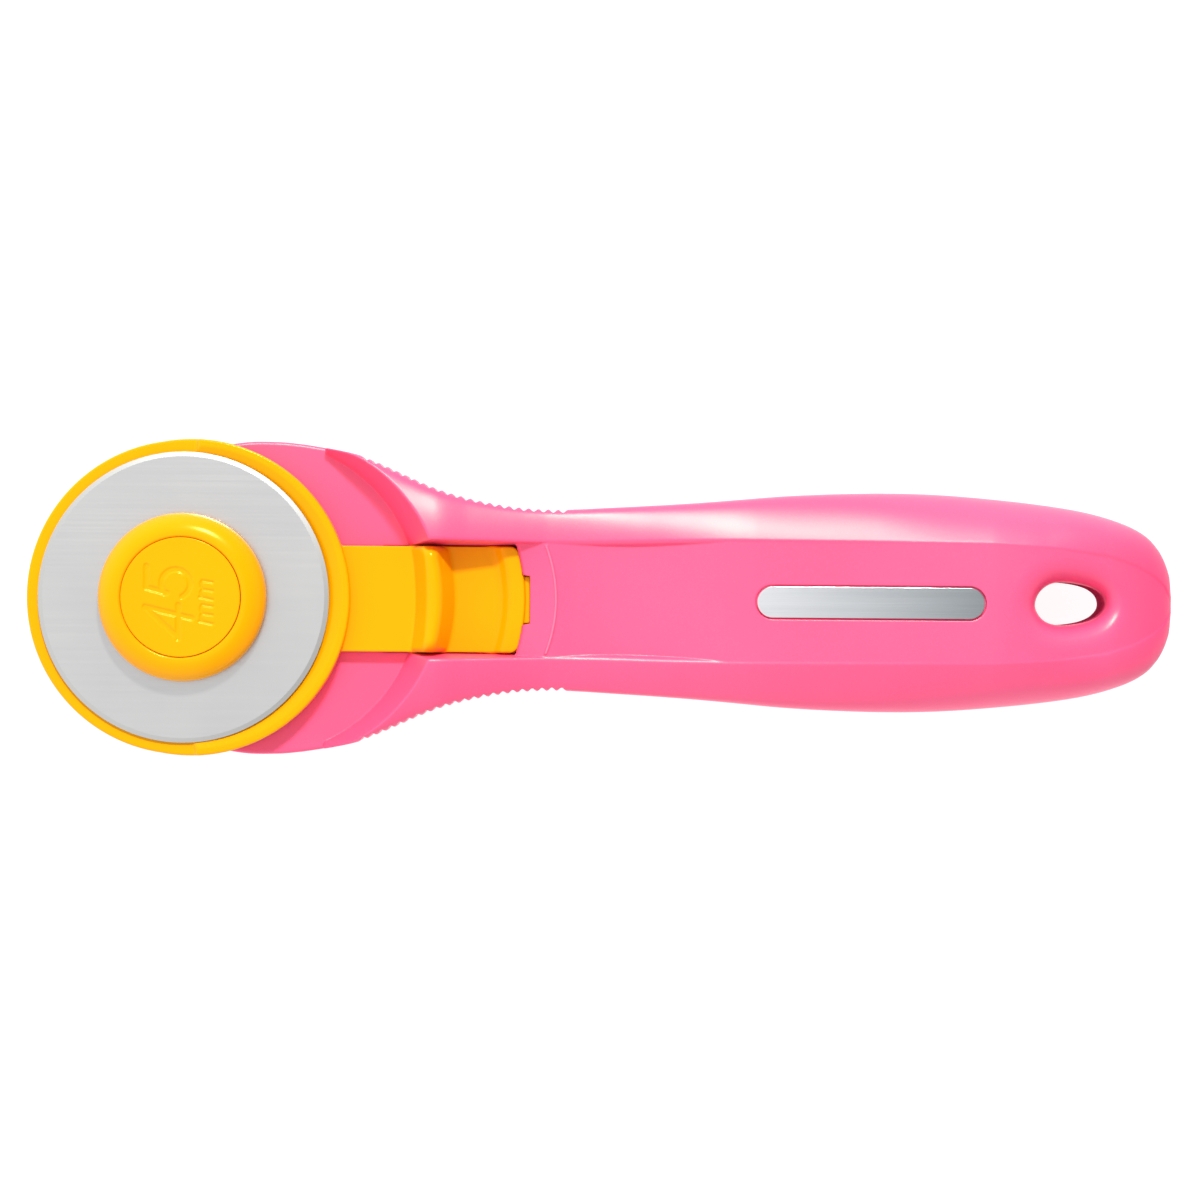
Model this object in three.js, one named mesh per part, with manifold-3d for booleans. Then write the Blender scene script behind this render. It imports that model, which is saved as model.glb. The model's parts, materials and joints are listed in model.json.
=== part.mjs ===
// Rotary cutter for cloth, 45 mm blade. Millimetres, +Z up.
// The tool lies on its back with the blade side up: +X runs from the blade to
// the tail of the handle, Z = 0 is the flat back of the grip.
import * as THREE from 'three';
import { mergeVertices } from 'three/addons/utils/BufferGeometryUtils.js';
import Module from 'manifold-3d';

// ---------------------------------------------------------------- dimensions
const BLADE_X = -64.65;          // blade axis
const BLADE_R = 22.5;            // 45 mm blade
const BLADE_T = 0.3;
const BLADE_HOLE_R = 4.15;       // 8 mm shank plus clearance
const BLADE_Z = 16.2;            // underside of the blade

const PLATE_Z = 12.7;            // front face of the head and floor of the guard slot
const HEAD_BACK_Z = 6.8;         // back face of the head
const PART_Z = 10.0;             // parting plane of the two shells
const PART_GAP = 0.06;           // each shell stops this far from the parting plane
const WALL = 2.2;

const HEAD_X = -53.0;            // centre of the round head
const HEAD_R = 24.3;
const RECESS_X = -52.9;          // centre of the round step the guard slides into
const RECESS_R = 24.4;
const RECESS_DRAFT = 0.4245;     // 23 degrees

const GUARD_TRAVEL = 9.6;        // the guard uncovers the blade by sliding back this far
const GUARD_R1 = 24.3;           // front half of the ring
const GUARD_R2 = 24.5;           // rear half of the ring
const GUARD_DX = 1.2;            // its centre is this far behind the blade axis
const GUARD_Z0 = 13.0;           // underside of the guard
const GUARD_PLATE_Z = 15.2;      // plate under the blade
const GUARD_EDGE_Z = 15.9;       // flat edge band
const GUARD_RIM_Z = 16.6;        // raised rim on the rear half
const BOSS_R = 6.0;              // boss of the head that carries the blade
const BOSS_Z = 15.9;
const ARM_HALF = 8.2;            // half width of the guard's arm
const ARM_Z = 14.8;
const SADDLE_Z = 14.6;
const LIP_Z = 15.95;
const TAB_Z = 15.55;
const RIDGE_Z = 19.4;
const SLOT_HALF = 8.45;          // half width of the slot in the handle
const SLOT_DRAFT = 0.115;
const ROOF_Z = 16.2;             // underside of the roof over the guard's tail
const ROOF_EDGE_X = -11.2;      // front edge of the roof on the centre line
const TAB_END_X = -11.0;          // rear end of the guard's tab
const CHANNEL_END_X = 3.6;

const CAP_R = 13.0;
const CAP_TOP_Z = 21.0;
const INSERT_R = 9.2;
const PIN_R = 4.0;
const PIN_END_Z = 7.2;
const GROOVE_R = 3.1;
const GROOVE_Z = [9.05, 10.45];

const PLATE_C = [41.4, 0];       // name plate
const PLATE_L = 35.2;
const PLATE_W = 5.0;
const PANEL_Z = 20.6;            // top of the grip at the name plate

const NOTCH_DEPTH = 0.55;        // ribs on the sides of the head
const NOTCH_PITCH = 1.5;
const NOTCH_X = [-37.0, -5.6];

// handle screws: x, y, underside of the head
const SCREWS = [
  ['handle_screw_1', -27.0, 14.0],
  ['handle_screw_2', -27.0, -14.0],
  ['handle_screw_3', 16.0, 0],
  ['handle_screw_4', 57.0, 0],
];
const SCREW_HEAD_R = 2.5;
const SCREW_HEAD_T = 1.7;
const SCREW_SHANK_R = 1.25;
const SCREW_L = 9.5;

// outline of the grip: x, half width
const OUTLINE = [
  [-56.2, 24.25], [-53, 24.3], [-50, 24.24], [-46.9, 23.96], [-43.8, 23.5], [-40.7, 22.92],
  [-37.6, 22.2], [-35.7, 21.5], [-32.95, 20.34], [-30.1, 19.05], [-27.3, 17.83],
  [-24.6, 16.8], [-21.6, 15.94], [-18.65, 15.27], [-15.7, 14.73], [-12.6, 14.32],
  [-9.4, 14.1], [-6.5, 14.02], [-3.4, 14.12], [-0.24, 14.3], [2.9, 14.48], [6.0, 14.65],
  [9.1, 14.84], [12.3, 15.05], [15.4, 15.28], [18.5, 15.54], [21.6, 15.82],
  [24.8, 16.12], [27.9, 16.38], [31.0, 16.58], [34.1, 16.74], [37.3, 16.87],
  [40.4, 16.96], [43.5, 17.02], [46.6, 17.02], [49.8, 16.96], [52.9, 16.84],
  [56.0, 16.65], [59.1, 16.4], [62.3, 16.11], [65.4, 15.8], [68.5, 15.43],
  [71.6, 15.0], [74.8, 14.44], [77.9, 13.7], [81.0, 12.7], [82.6, 12.03], [83.8, 11.4],
  [85.1, 10.5], [85.7, 9.95], [86.3, 9.25], [86.95, 8.4], [87.6, 7.25], [88.2, 5.8],
  [88.7, 3.9], [88.95, 1.6],
];
// top of the grip along its crease, x, z
const TOP = [
  [-60, 19.6], [-46, 20.0], [-38, 20.6], [-32, 20.9], [-26, 20.9], [-20.4, 19.9], [-14.2, 18.8],
  [-11, 18.2], [-8, 17.75], [-4, 17.75], [0, 18.0], [6, 18.65], [12, 19.5], [18, 20.25], [22, 20.55],
  [24, 20.6], [60, 20.6], [65, 20.25], [70, 19.45], [75, 18.2], [79, 16.9], [82.5, 15.3],
  [85.1, 13.9], [86.95, 12.7], [88.2, 11.6], [88.95, 10.5],
];
// back of the grip, x, z
const BACK = [
  [-60, 6.8], [-39, 6.8], [-36, 6.3], [-32, 4.5], [-28, 2.2], [-24, 0.6], [-21, 0],
  [68, 0], [72, 0.35], [76, 1.15], [80, 2.5], [83.5, 4.2], [86, 6.0], [87.6, 7.4],
  [88.5, 8.6], [88.95, 9.5],
];
// half width of the flat top panel, x, y
const CREASE = [
  [-60, 9.2], [-26, 9.2], [-16, 8.95], [-8, 8.75], [0, 8.85], [10, 9.1], [20, 9.25], [60, 9.1], [70, 8.5],
  [78, 7.4], [82.6, 6.0], [85.7, 4.4], [87.6, 2.8], [88.95, 0.5],
];
// depth of the thumb hollow behind the slot, x, z
const HOLLOW = [
  [-60, 0], [-8, 0], [-4, 0.35], [1, 0.75], [6, 0.9], [11, 0.75], [16, 0.35], [19.5, 0], [90, 0],
];
// how square the flank is, x, exponent
const SQUARE = [[-60, 12], [-30, 14], [6, 14], [18.5, 11], [31, 8], [43, 5], [56, 3.5], [70, 2.6], [78, 2.3], [90, 2.2]];
// how far the flank has fallen by its edge, as shares of its height: evenly, and ever steeper
const TILT = [[-60, 0.03], [-30, 0.04], [-6, 0.03], [6, 0.06], [18.5, 0.14], [31, 0.19], [43, 0.24], [56, 0.34], [70, 0.34], [90, 0.24]];
const CROWN = [[-60, 0.18], [-31, 0.185], [-20, 0.134], [-6, 0.095], [6, 0.13], [18.5, 0.1], [31, 0.13], [43, 0.1], [56, 0.06], [70, 0.02], [78, 0], [90, 0]];

// hanging hole, x, y
const HOLE = [
  [67.0, -0.05], [67.35, -1.3], [68.3, -2.45], [69.6, -3.05], [71.4, -3.27], [73.4, -3.08],
  [75.3, -2.68], [76.95, -1.9], [77.95, -0.7], [78.05, 0.4], [77.6, 1.5], [76.3, 2.5],
  [74.2, 3.12], [71.4, 3.43], [69.2, 3.05], [67.6, 1.7],
];
const HOLE_FLARE = 4.2;

// ------------------------------------------------------------------- helpers
const wasm = await Module();
wasm.setup();

function lerpTable(table, x) {
  if (x <= table[0][0]) return table[0][1];
  for (let i = 1; i < table.length; i++) {
    if (x <= table[i][0]) {
      const [x0, y0] = table[i - 1];
      const [x1, y1] = table[i];
      return y0 + ((y1 - y0) * (x - x0)) / (x1 - x0);
    }
  }
  return table[table.length - 1][1];
}

// monotone cubic through a table, for smooth profiles
function smoothTable(table) {
  const n = table.length;
  const d = [];
  const m = new Array(n).fill(0);
  for (let i = 0; i < n - 1; i++) d.push((table[i + 1][1] - table[i][1]) / (table[i + 1][0] - table[i][0]));
  for (let i = 1; i < n - 1; i++) {
    if (d[i - 1] * d[i] > 0) {
      const h0 = table[i][0] - table[i - 1][0];
      const h1 = table[i + 1][0] - table[i][0];
      const w1 = 2 * h1 + h0;
      const w2 = h1 + 2 * h0;
      m[i] = (w1 + w2) / (w1 / d[i - 1] + w2 / d[i]);
    }
  }
  m[0] = d[0];
  m[n - 1] = d[n - 2];
  return (x) => {
    if (x <= table[0][0]) return table[0][1];
    if (x >= table[n - 1][0]) return table[n - 1][1];
    let i = 0;
    while (x > table[i + 1][0]) i++;
    const h = table[i + 1][0] - table[i][0];
    const t = (x - table[i][0]) / h;
    const t2 = t * t;
    const t3 = t2 * t;
    return (2 * t3 - 3 * t2 + 1) * table[i][1] + (t3 - 2 * t2 + t) * h * m[i]
      + (-2 * t3 + 3 * t2) * table[i + 1][1] + (t3 - t2) * h * m[i + 1];
  };
}

const topZ = smoothTable(TOP);
const backZ = smoothTable(BACK);
const hollowZ = smoothTable(HOLLOW);
const halfW = smoothTable(OUTLINE);

function solid(geometry) {
  let g = geometry.index ? geometry.toNonIndexed() : geometry.clone();
  g.deleteAttribute('normal');
  if (g.getAttribute('uv')) g.deleteAttribute('uv');
  g = mergeVertices(g, 1e-4);
  const vertProperties = new Float32Array(g.getAttribute('position').array);
  const triVerts = new Uint32Array(g.index.array);
  const m = new wasm.Manifold(new wasm.Mesh({ numProp: 3, vertProperties, triVerts }));
  if (m.volume() < 0) throw new Error('inside out');
  return m;
}

function geometryOf(m) {
  const mesh = m.getMesh();
  const n = mesh.numProp;
  const v = mesh.vertProperties;
  const pos = new Float32Array((v.length / n) * 3);
  for (let i = 0; i < v.length / n; i++) {
    pos[3 * i] = v[n * i];
    pos[3 * i + 1] = v[n * i + 1];
    pos[3 * i + 2] = v[n * i + 2];
  }
  const g = new THREE.BufferGeometry();
  g.setAttribute('position', new THREE.BufferAttribute(pos, 3));
  g.setIndex(new THREE.BufferAttribute(new Uint32Array(mesh.triVerts), 1));
  g.computeVertexNormals();
  return g;
}

// a closed solid through rings of points, each ring one planar loop
function loft(rings) {
  const n = rings[0].length;
  const pos = [];
  const idx = [];
  for (const r of rings) for (const p of r) pos.push(p[0], p[1], p[2]);
  for (let k = 0; k < rings.length - 1; k++) {
    for (let i = 0; i < n; i++) {
      const j = (i + 1) % n;
      const a = k * n + i;
      const b = k * n + j;
      const c = (k + 1) * n + j;
      const d = (k + 1) * n + i;
      idx.push(a, b, c, a, c, d);
    }
  }
  for (const [k, flip] of [[0, true], [rings.length - 1, false]]) {
    const c = [0, 0, 0];
    for (const p of rings[k]) for (let q = 0; q < 3; q++) c[q] += p[q] / n;
    const ci = pos.length / 3;
    pos.push(...c);
    for (let i = 0; i < n; i++) {
      const j = (i + 1) % n;
      if (flip) idx.push(ci, k * n + j, k * n + i);
      else idx.push(ci, k * n + i, k * n + j);
    }
  }
  // turn it outward
  let vol = 0;
  for (let t = 0; t < idx.length; t += 3) {
    const [a, b, c] = [idx[t] * 3, idx[t + 1] * 3, idx[t + 2] * 3];
    vol += pos[a] * (pos[b + 1] * pos[c + 2] - pos[b + 2] * pos[c + 1])
      - pos[a + 1] * (pos[b] * pos[c + 2] - pos[b + 2] * pos[c])
      + pos[a + 2] * (pos[b] * pos[c + 1] - pos[b + 1] * pos[c]);
  }
  if (vol < 0) for (let t = 0; t < idx.length; t += 3) [idx[t], idx[t + 1]] = [idx[t + 1], idx[t]];
  const g = new THREE.BufferGeometry();
  g.setAttribute('position', new THREE.BufferAttribute(new Float32Array(pos), 3));
  g.setIndex(idx);
  return g;
}

function prism(points, z0, z1) {
  const shape = new THREE.Shape(points.map((p) => new THREE.Vector2(p[0], p[1])));
  const g = new THREE.ExtrudeGeometry(shape, { depth: z1 - z0, bevelEnabled: false, steps: 1 });
  g.translate(0, 0, z0);
  return solid(g);
}

// profile in X and Z, carried across Y
function prismY(points, y0, y1) {
  const shape = new THREE.Shape(points.map((p) => new THREE.Vector2(p[0], p[1])));
  const g = new THREE.ExtrudeGeometry(shape, { depth: y1 - y0, bevelEnabled: false, steps: 1 });
  g.rotateX(Math.PI / 2);
  g.translate(0, y1, 0);
  return solid(g);
}

function box(x0, x1, y0, y1, z0, z1) {
  const g = new THREE.BoxGeometry(x1 - x0, y1 - y0, z1 - z0);
  g.translate((x0 + x1) / 2, (y0 + y1) / 2, (z0 + z1) / 2);
  return solid(g);
}

// upright round solid
function drum(x, y, r0, r1, z0, z1, seg = 48) {
  const g = new THREE.CylinderGeometry(r1, r0, z1 - z0, seg);
  g.rotateX(Math.PI / 2);
  g.translate(x, y, (z0 + z1) / 2);
  return solid(g);
}

// turned solid about an upright axis, profile of [r, z]
function turned(profile, x, y, seg = 64) {
  const pts = profile.map((p) => new THREE.Vector2(p[0], p[1]));
  const g = new THREE.LatheGeometry(pts, seg);
  g.rotateX(Math.PI / 2);
  const q = mergeVertices((() => {
    const h = g.toNonIndexed();
    h.deleteAttribute('normal');
    h.deleteAttribute('uv');
    return h;
  })(), 1e-4);
  // drop the collapsed triangles on the axis and turn the faces outward
  const a = q.index.array;
  const keep = [];
  for (let t = 0; t < a.length; t += 3) {
    if (a[t] !== a[t + 1] && a[t + 1] !== a[t + 2] && a[t] !== a[t + 2]) keep.push(a[t], a[t + 1], a[t + 2]);
  }
  const p = q.getAttribute('position').array;
  let vol = 0;
  for (let t = 0; t < keep.length; t += 3) {
    const [i, j, k] = [keep[t] * 3, keep[t + 1] * 3, keep[t + 2] * 3];
    vol += p[i] * (p[j + 1] * p[k + 2] - p[j + 2] * p[k + 1])
      - p[i + 1] * (p[j] * p[k + 2] - p[j + 2] * p[k])
      + p[i + 2] * (p[j] * p[k + 1] - p[j + 1] * p[k]);
  }
  if (vol < 0) for (let t = 0; t < keep.length; t += 3) [keep[t], keep[t + 1]] = [keep[t + 1], keep[t]];
  q.setIndex(keep);
  q.translate(x, y, 0);
  return solid(q);
}

function arcPoints(cx, cy, r, a0, a1, n) {
  const out = [];
  for (let i = 0; i <= n; i++) {
    const a = a0 + ((a1 - a0) * i) / n;
    out.push([cx + r * Math.cos(a), cy + r * Math.sin(a)]);
  }
  return out;
}

// -------------------------------------------------------------- grip surface
// one cross-section of the grip; inset = how far inside the outer surface
function section(x, inset, nTop, nBack) {
  const w = halfW(x) - inset;
  const zt = topZ(x) - inset;
  const zb = backZ(x) + inset;
  const zs = PART_Z;
  const hollow = hollowZ(x);
  const yc = Math.min(lerpTable(CREASE, x), w * 0.72);
  const yb = Math.min(7, w * 0.5);
  const p = lerpTable(SQUARE, x);
  const a = lerpTable(TILT, x);
  const c = lerpTable(CROWN, x);
  const share = nTop > 4 ? [0, 0.4, 0.72, 0.88, 0.95, 0.985, 1] : [0, 0.5, 0.85, 0.96, 1];
  const half = [];
  half.push([Math.max(yc - 0.7, 0.05), zt - hollow]);
  for (let i = 0; i <= nTop; i++) {
    const t = share[i];
    const s = Math.pow(Math.max(1 - Math.pow(t, p), 0), 1 / p);
    const y = yc + (w - yc) * t;
    const z = i === nTop ? zs : zt - (zt - zs) * (a * t + c * t * t + (1 - a - c) * (1 - s));
    half.push([y, z]);
  }
  const pb = 2.5;
  for (let i = 1; i <= nBack; i++) {
    const th = (Math.PI / 2) * (i / nBack);
    const t = Math.pow(Math.max(Math.cos(th), 0), 2 / pb);
    const s = Math.pow(Math.sin(th), 2 / pb);
    const y = yb + (w - yb) * (i === nBack ? 0 : t);
    const z = zs - (zs - zb) * (i === nBack ? 1 : s);
    half.push([y, z]);
  }
  const loop = half.map((q) => [x, q[0], q[1]]);
  for (let i = half.length - 1; i >= 0; i--) loop.push([x, -half[i][0], half[i][1]]);
  return loop;
}

function stations(x0, x1, step) {
  const out = [];
  const n = Math.round((x1 - x0) / step);
  for (let i = 0; i <= n; i++) out.push(x0 + ((x1 - x0) * i) / n);
  return out;
}

const outerX = [
  ...stations(-46, -20, 2.6), ...stations(-17.5, 22, 3.3), ...stations(26, 62, 6),
  65, 68, 71, 74, 76.8, 79.2, 81.3, 83, 84.4, 85.6, 86.6, 87.4, 88.0, 88.5, 88.8, 88.95,
];
const bodyOuter = solid(loft(outerX.map((x) => section(x, 0, 6, 4))));
const innerX = [-40, -36, -32, -28, -24, -20, -15, -9, -3, 3, 9, 15, 21, 30, 42, 54, 62, 68, 73, 77, 80.5, 83];
const bodyInner = solid(loft(innerX.map((x) => section(x, WALL, 4, 3))));

// round head
const headOutline = [];
for (let i = 0; i <= 40; i++) {
  const a = Math.PI / 2 + (Math.PI * i) / 40;
  headOutline.push([HEAD_X + HEAD_R * Math.cos(a), HEAD_R * Math.sin(a)]);
}
for (const x of [-50, -46.9, -43.8, -40.7, -38]) headOutline.push([x, -halfW(x) + 0.03]);
for (const x of [-38, -40.7, -43.8, -46.9, -50]) headOutline.push([x, halfW(x) - 0.03]);
const head = prism(headOutline, HEAD_BACK_Z, PLATE_Z);
const outer = bodyOuter.add(head);

// the inside: one hollow through the grip, and a thin one in the head
const stepWall = drum(RECESS_X, 0, RECESS_R + WALL, RECESS_R + WALL + 12 * RECESS_DRAFT, PART_Z + 0.5, PART_Z + 12.5, 40);
const headHollow = drum(HEAD_X, 0, 21.9, 21.9, HEAD_BACK_Z + WALL, PART_Z + 0.5, 36);
const hollow = bodyInner.subtract(stepWall).add(headHollow);

// holes and pockets shared by both shells
function scaledHole(offset) {
  const cx = 72.4;
  const n = HOLE.length;
  return HOLE.map((p, i) => {
    const a = HOLE[(i + n - 1) % n];
    const b = HOLE[(i + 1) % n];
    const tx = b[0] - a[0];
    const ty = b[1] - a[1];
    const l = Math.hypot(tx, ty);
    let nx = ty / l;
    let ny = -tx / l;
    if (nx * (p[0] - cx) + ny * p[1] < 0) { nx = -nx; ny = -ny; }
    return [p[0] + nx * offset, p[1] + ny * offset];
  });
}
function holeRing(offset, z) {
  return scaledHole(offset).map((p) => [p[0], p[1], z]);
}
// flared mouths: the wall bends outward on a large radius at both faces
const holeTopZ = topZ(72) - 0.15;
const holeBackZ = 0.3;
const holeRings = [];
const flareSteps = 5;
holeRings.push(holeRing(HOLE_FLARE + 2.5, holeBackZ - 2.0));
for (let i = 0; i <= flareSteps; i++) {
  const a = (Math.PI / 2) * (i / flareSteps);
  const r = 2.6;
  holeRings.push(holeRing(r - r * Math.sin(a), holeBackZ + r - r * Math.cos(a)));
}
for (let i = flareSteps; i >= 0; i--) {
  const a = (Math.PI / 2) * (i / flareSteps);
  holeRings.push(holeRing(HOLE_FLARE - HOLE_FLARE * Math.sin(a), holeTopZ - HOLE_FLARE + HOLE_FLARE * Math.cos(a)));
}
holeRings.push(holeRing(HOLE_FLARE + 4.5, holeTopZ + 3.5));
const hangHole = solid(loft(holeRings));
const holeWall = prism(scaledHole(WALL + 2.6), -1, 25).intersect(bodyOuter);

// ribs along the sides of the head, as upright notches between crests
function edgeAt(x) {
  const w = halfW(x);
  const s = (halfW(x + 0.05) - halfW(x - 0.05)) / 0.1;
  return { w, s };
}
const notches = [];
{
  let x = NOTCH_X[0];
  while (x < NOTCH_X[1]) {
    const { w, s } = edgeAt(x);
    const l = Math.hypot(1, s);
    const t = [1 / l, s / l];
    const nrm = [-s / l, 1 / l];
    const h = NOTCH_PITCH * 0.42;
    const pts = [
      [-h, 0.2], [-h, 0.0], [0, -NOTCH_DEPTH], [h, 0.0], [h, 0.2],
    ].map(([u, v]) => [x + t[0] * u + nrm[0] * v, w + t[1] * u + nrm[1] * v]);
    notches.push(pts, pts.map((p) => [p[0], -p[1]]).reverse());
    x += NOTCH_PITCH / l;
  }
}
const notchZ = [3.2, 24];
let ribs = null;
for (const pts of notches) {
  const c = prism(pts, notchZ[0], notchZ[1]);
  ribs = ribs ? ribs.add(c) : c;
}

// ------------------------------------------------------------- front shell
const upper = box(-120, 120, -60, 60, PART_Z + PART_GAP, 60);
const lower = box(-120, 120, -60, 60, -60, PART_Z - PART_GAP);

// slot for the guard's arm: floor, ramp behind it, walls that lean out a little
function slotRing(x, z) {
  const wb = SLOT_HALF + (z - SADDLE_Z) * SLOT_DRAFT;
  const wt = SLOT_HALF + (24 - SADDLE_Z) * SLOT_DRAFT;
  return [[x, -wb, z], [x, wb, z], [x, wt, 24], [x, -wt, 24]];
}
const roofArcR = 28;
const sag = (y) => roofArcR - Math.sqrt(roofArcR * roofArcR - y * y);
// open slot in front of the roof, ending on an arc
const slotOpen = (() => {
  const ys = [-8.6, -6.6, -4.4, -2.2, 0, 2.2, 4.4, 6.6, 8.6];
  const pts = [[-46, -8.6]];
  for (const y of ys) pts.push([ROOF_EDGE_X - 0.6 - sag(y), y]);
  pts.push([-46, 8.6]);
  const slab = prism(pts, PLATE_Z, 24);
  const lean = solid(loft([slotRing(-46, PLATE_Z), slotRing(-8, PLATE_Z)]));
  return slab.intersect(lean);
})();
// the ramp and the sharp front edge of the roof
const rampCut = (() => {
  const rings = [];
  const ys = [-9.6, -7.2, -4.8, -2.4, 0, 2.4, 4.8, 7.2, 9.6];
  for (const y of ys) {
    const s = sag(Math.min(Math.abs(y), 9.6));
    rings.push([
      [-46, y, 24], [-46, y, ROOF_Z], [ROOF_EDGE_X - 0.6 - s, y, ROOF_Z],
      [ROOF_EDGE_X - s, y, ROOF_Z + 0.42], [-7.9 - s * 0.9, y, topZ(-8) + 0.02], [-7.7 - s * 0.9, y, 24],
    ]);
  }
  const lean = solid(loft([slotRing(-46, PLATE_Z), slotRing(-5, PLATE_Z)]));
  return solid(loft(rings)).intersect(lean);
})();
const channel = box(-14, CHANNEL_END_X, -SLOT_HALF, SLOT_HALF, PLATE_Z, ROOF_Z);
const tabNotch = box(-14, TAB_END_X + 0.07, -3.8, 3.8, PLATE_Z, 18);

const recess = drum(RECESS_X, 0, RECESS_R, RECESS_R + 12 * RECESS_DRAFT, PLATE_Z, PLATE_Z + 12, 72);
const spine = box(-34, 6, -10.7, 10.7, PART_Z + PART_GAP, 30).intersect(bodyOuter);

function stadium(cx, cy, len, wid, n = 10) {
  const r = wid / 2;
  return [
    ...arcPoints(cx + len / 2 - r, cy, r, -Math.PI / 2, Math.PI / 2, n),
    ...arcPoints(cx - len / 2 + r, cy, r, Math.PI / 2, (3 * Math.PI) / 2, n),
  ];
}

// screw seats
const screwSeat = (x) => Math.max(backZ(x), 0) + 3.0;
let frontBosses = null;
let backBosses = null;
let frontPilots = null;
let backBores = null;
for (const [, x, y] of SCREWS) {
  const seat = screwSeat(x) + SCREW_HEAD_T;
  const zTip = seat + SCREW_L - SCREW_HEAD_T + 0.6;
  const fb = drum(x, y, 3.4, 3.4, PART_Z + PART_GAP, 30, 20).intersect(bodyOuter);
  const bb = drum(x, y, 4.3, 4.3, -1, PART_Z - PART_GAP, 24).intersect(bodyOuter);
  const fp = drum(x, y, SCREW_SHANK_R + 0.3, SCREW_SHANK_R + 0.3, PART_Z - 1, zTip, 16);
  const bore = drum(x, y, SCREW_SHANK_R + 0.35, SCREW_SHANK_R + 0.35, seat - 0.5, PART_Z + 1, 16)
    .add(drum(x, y, SCREW_HEAD_R + 0.35, SCREW_HEAD_R + 0.35, -3, seat, 24));
  frontBosses = frontBosses ? frontBosses.add(fb) : fb;
  backBosses = backBosses ? backBosses.add(bb) : bb;
  frontPilots = frontPilots ? frontPilots.add(fp) : fp;
  backBores = backBores ? backBores.add(bore) : bore;
}

const axleBore = drum(BLADE_X, 0, PIN_R + 0.1, PIN_R + 0.1, 0, 30, 40);
const bladeBoss = drum(BLADE_X, 0, BOSS_R, BOSS_R, PLATE_Z - 1, BOSS_Z, 40);
const platePocket = prism(stadium(PLATE_C[0], PLATE_C[1], PLATE_L + 0.3, PLATE_W + 0.3), PANEL_Z - 0.75, PANEL_Z + 2);
const detentPocket = box(-25.2, -7.4, -2.9, 2.9, 11.6, PLATE_Z + 0.1);

const frontShell = outer.intersect(upper).subtract(hollow)
  .add(spine).add(frontBosses).add(holeWall.intersect(upper))
  .subtract(recess)
  .subtract(slotOpen).subtract(rampCut).subtract(channel).subtract(tabNotch)
  .add(bladeBoss)
  .subtract(axleBore).subtract(platePocket).subtract(detentPocket)
  .subtract(frontPilots).subtract(hangHole).subtract(ribs);

// -------------------------------------------------------------- back shell
const backShell = outer.intersect(lower).subtract(hollow)
  .add(backBosses).add(holeWall.intersect(lower))
  .subtract(axleBore).subtract(backBores).subtract(hangHole).subtract(ribs);

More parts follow.
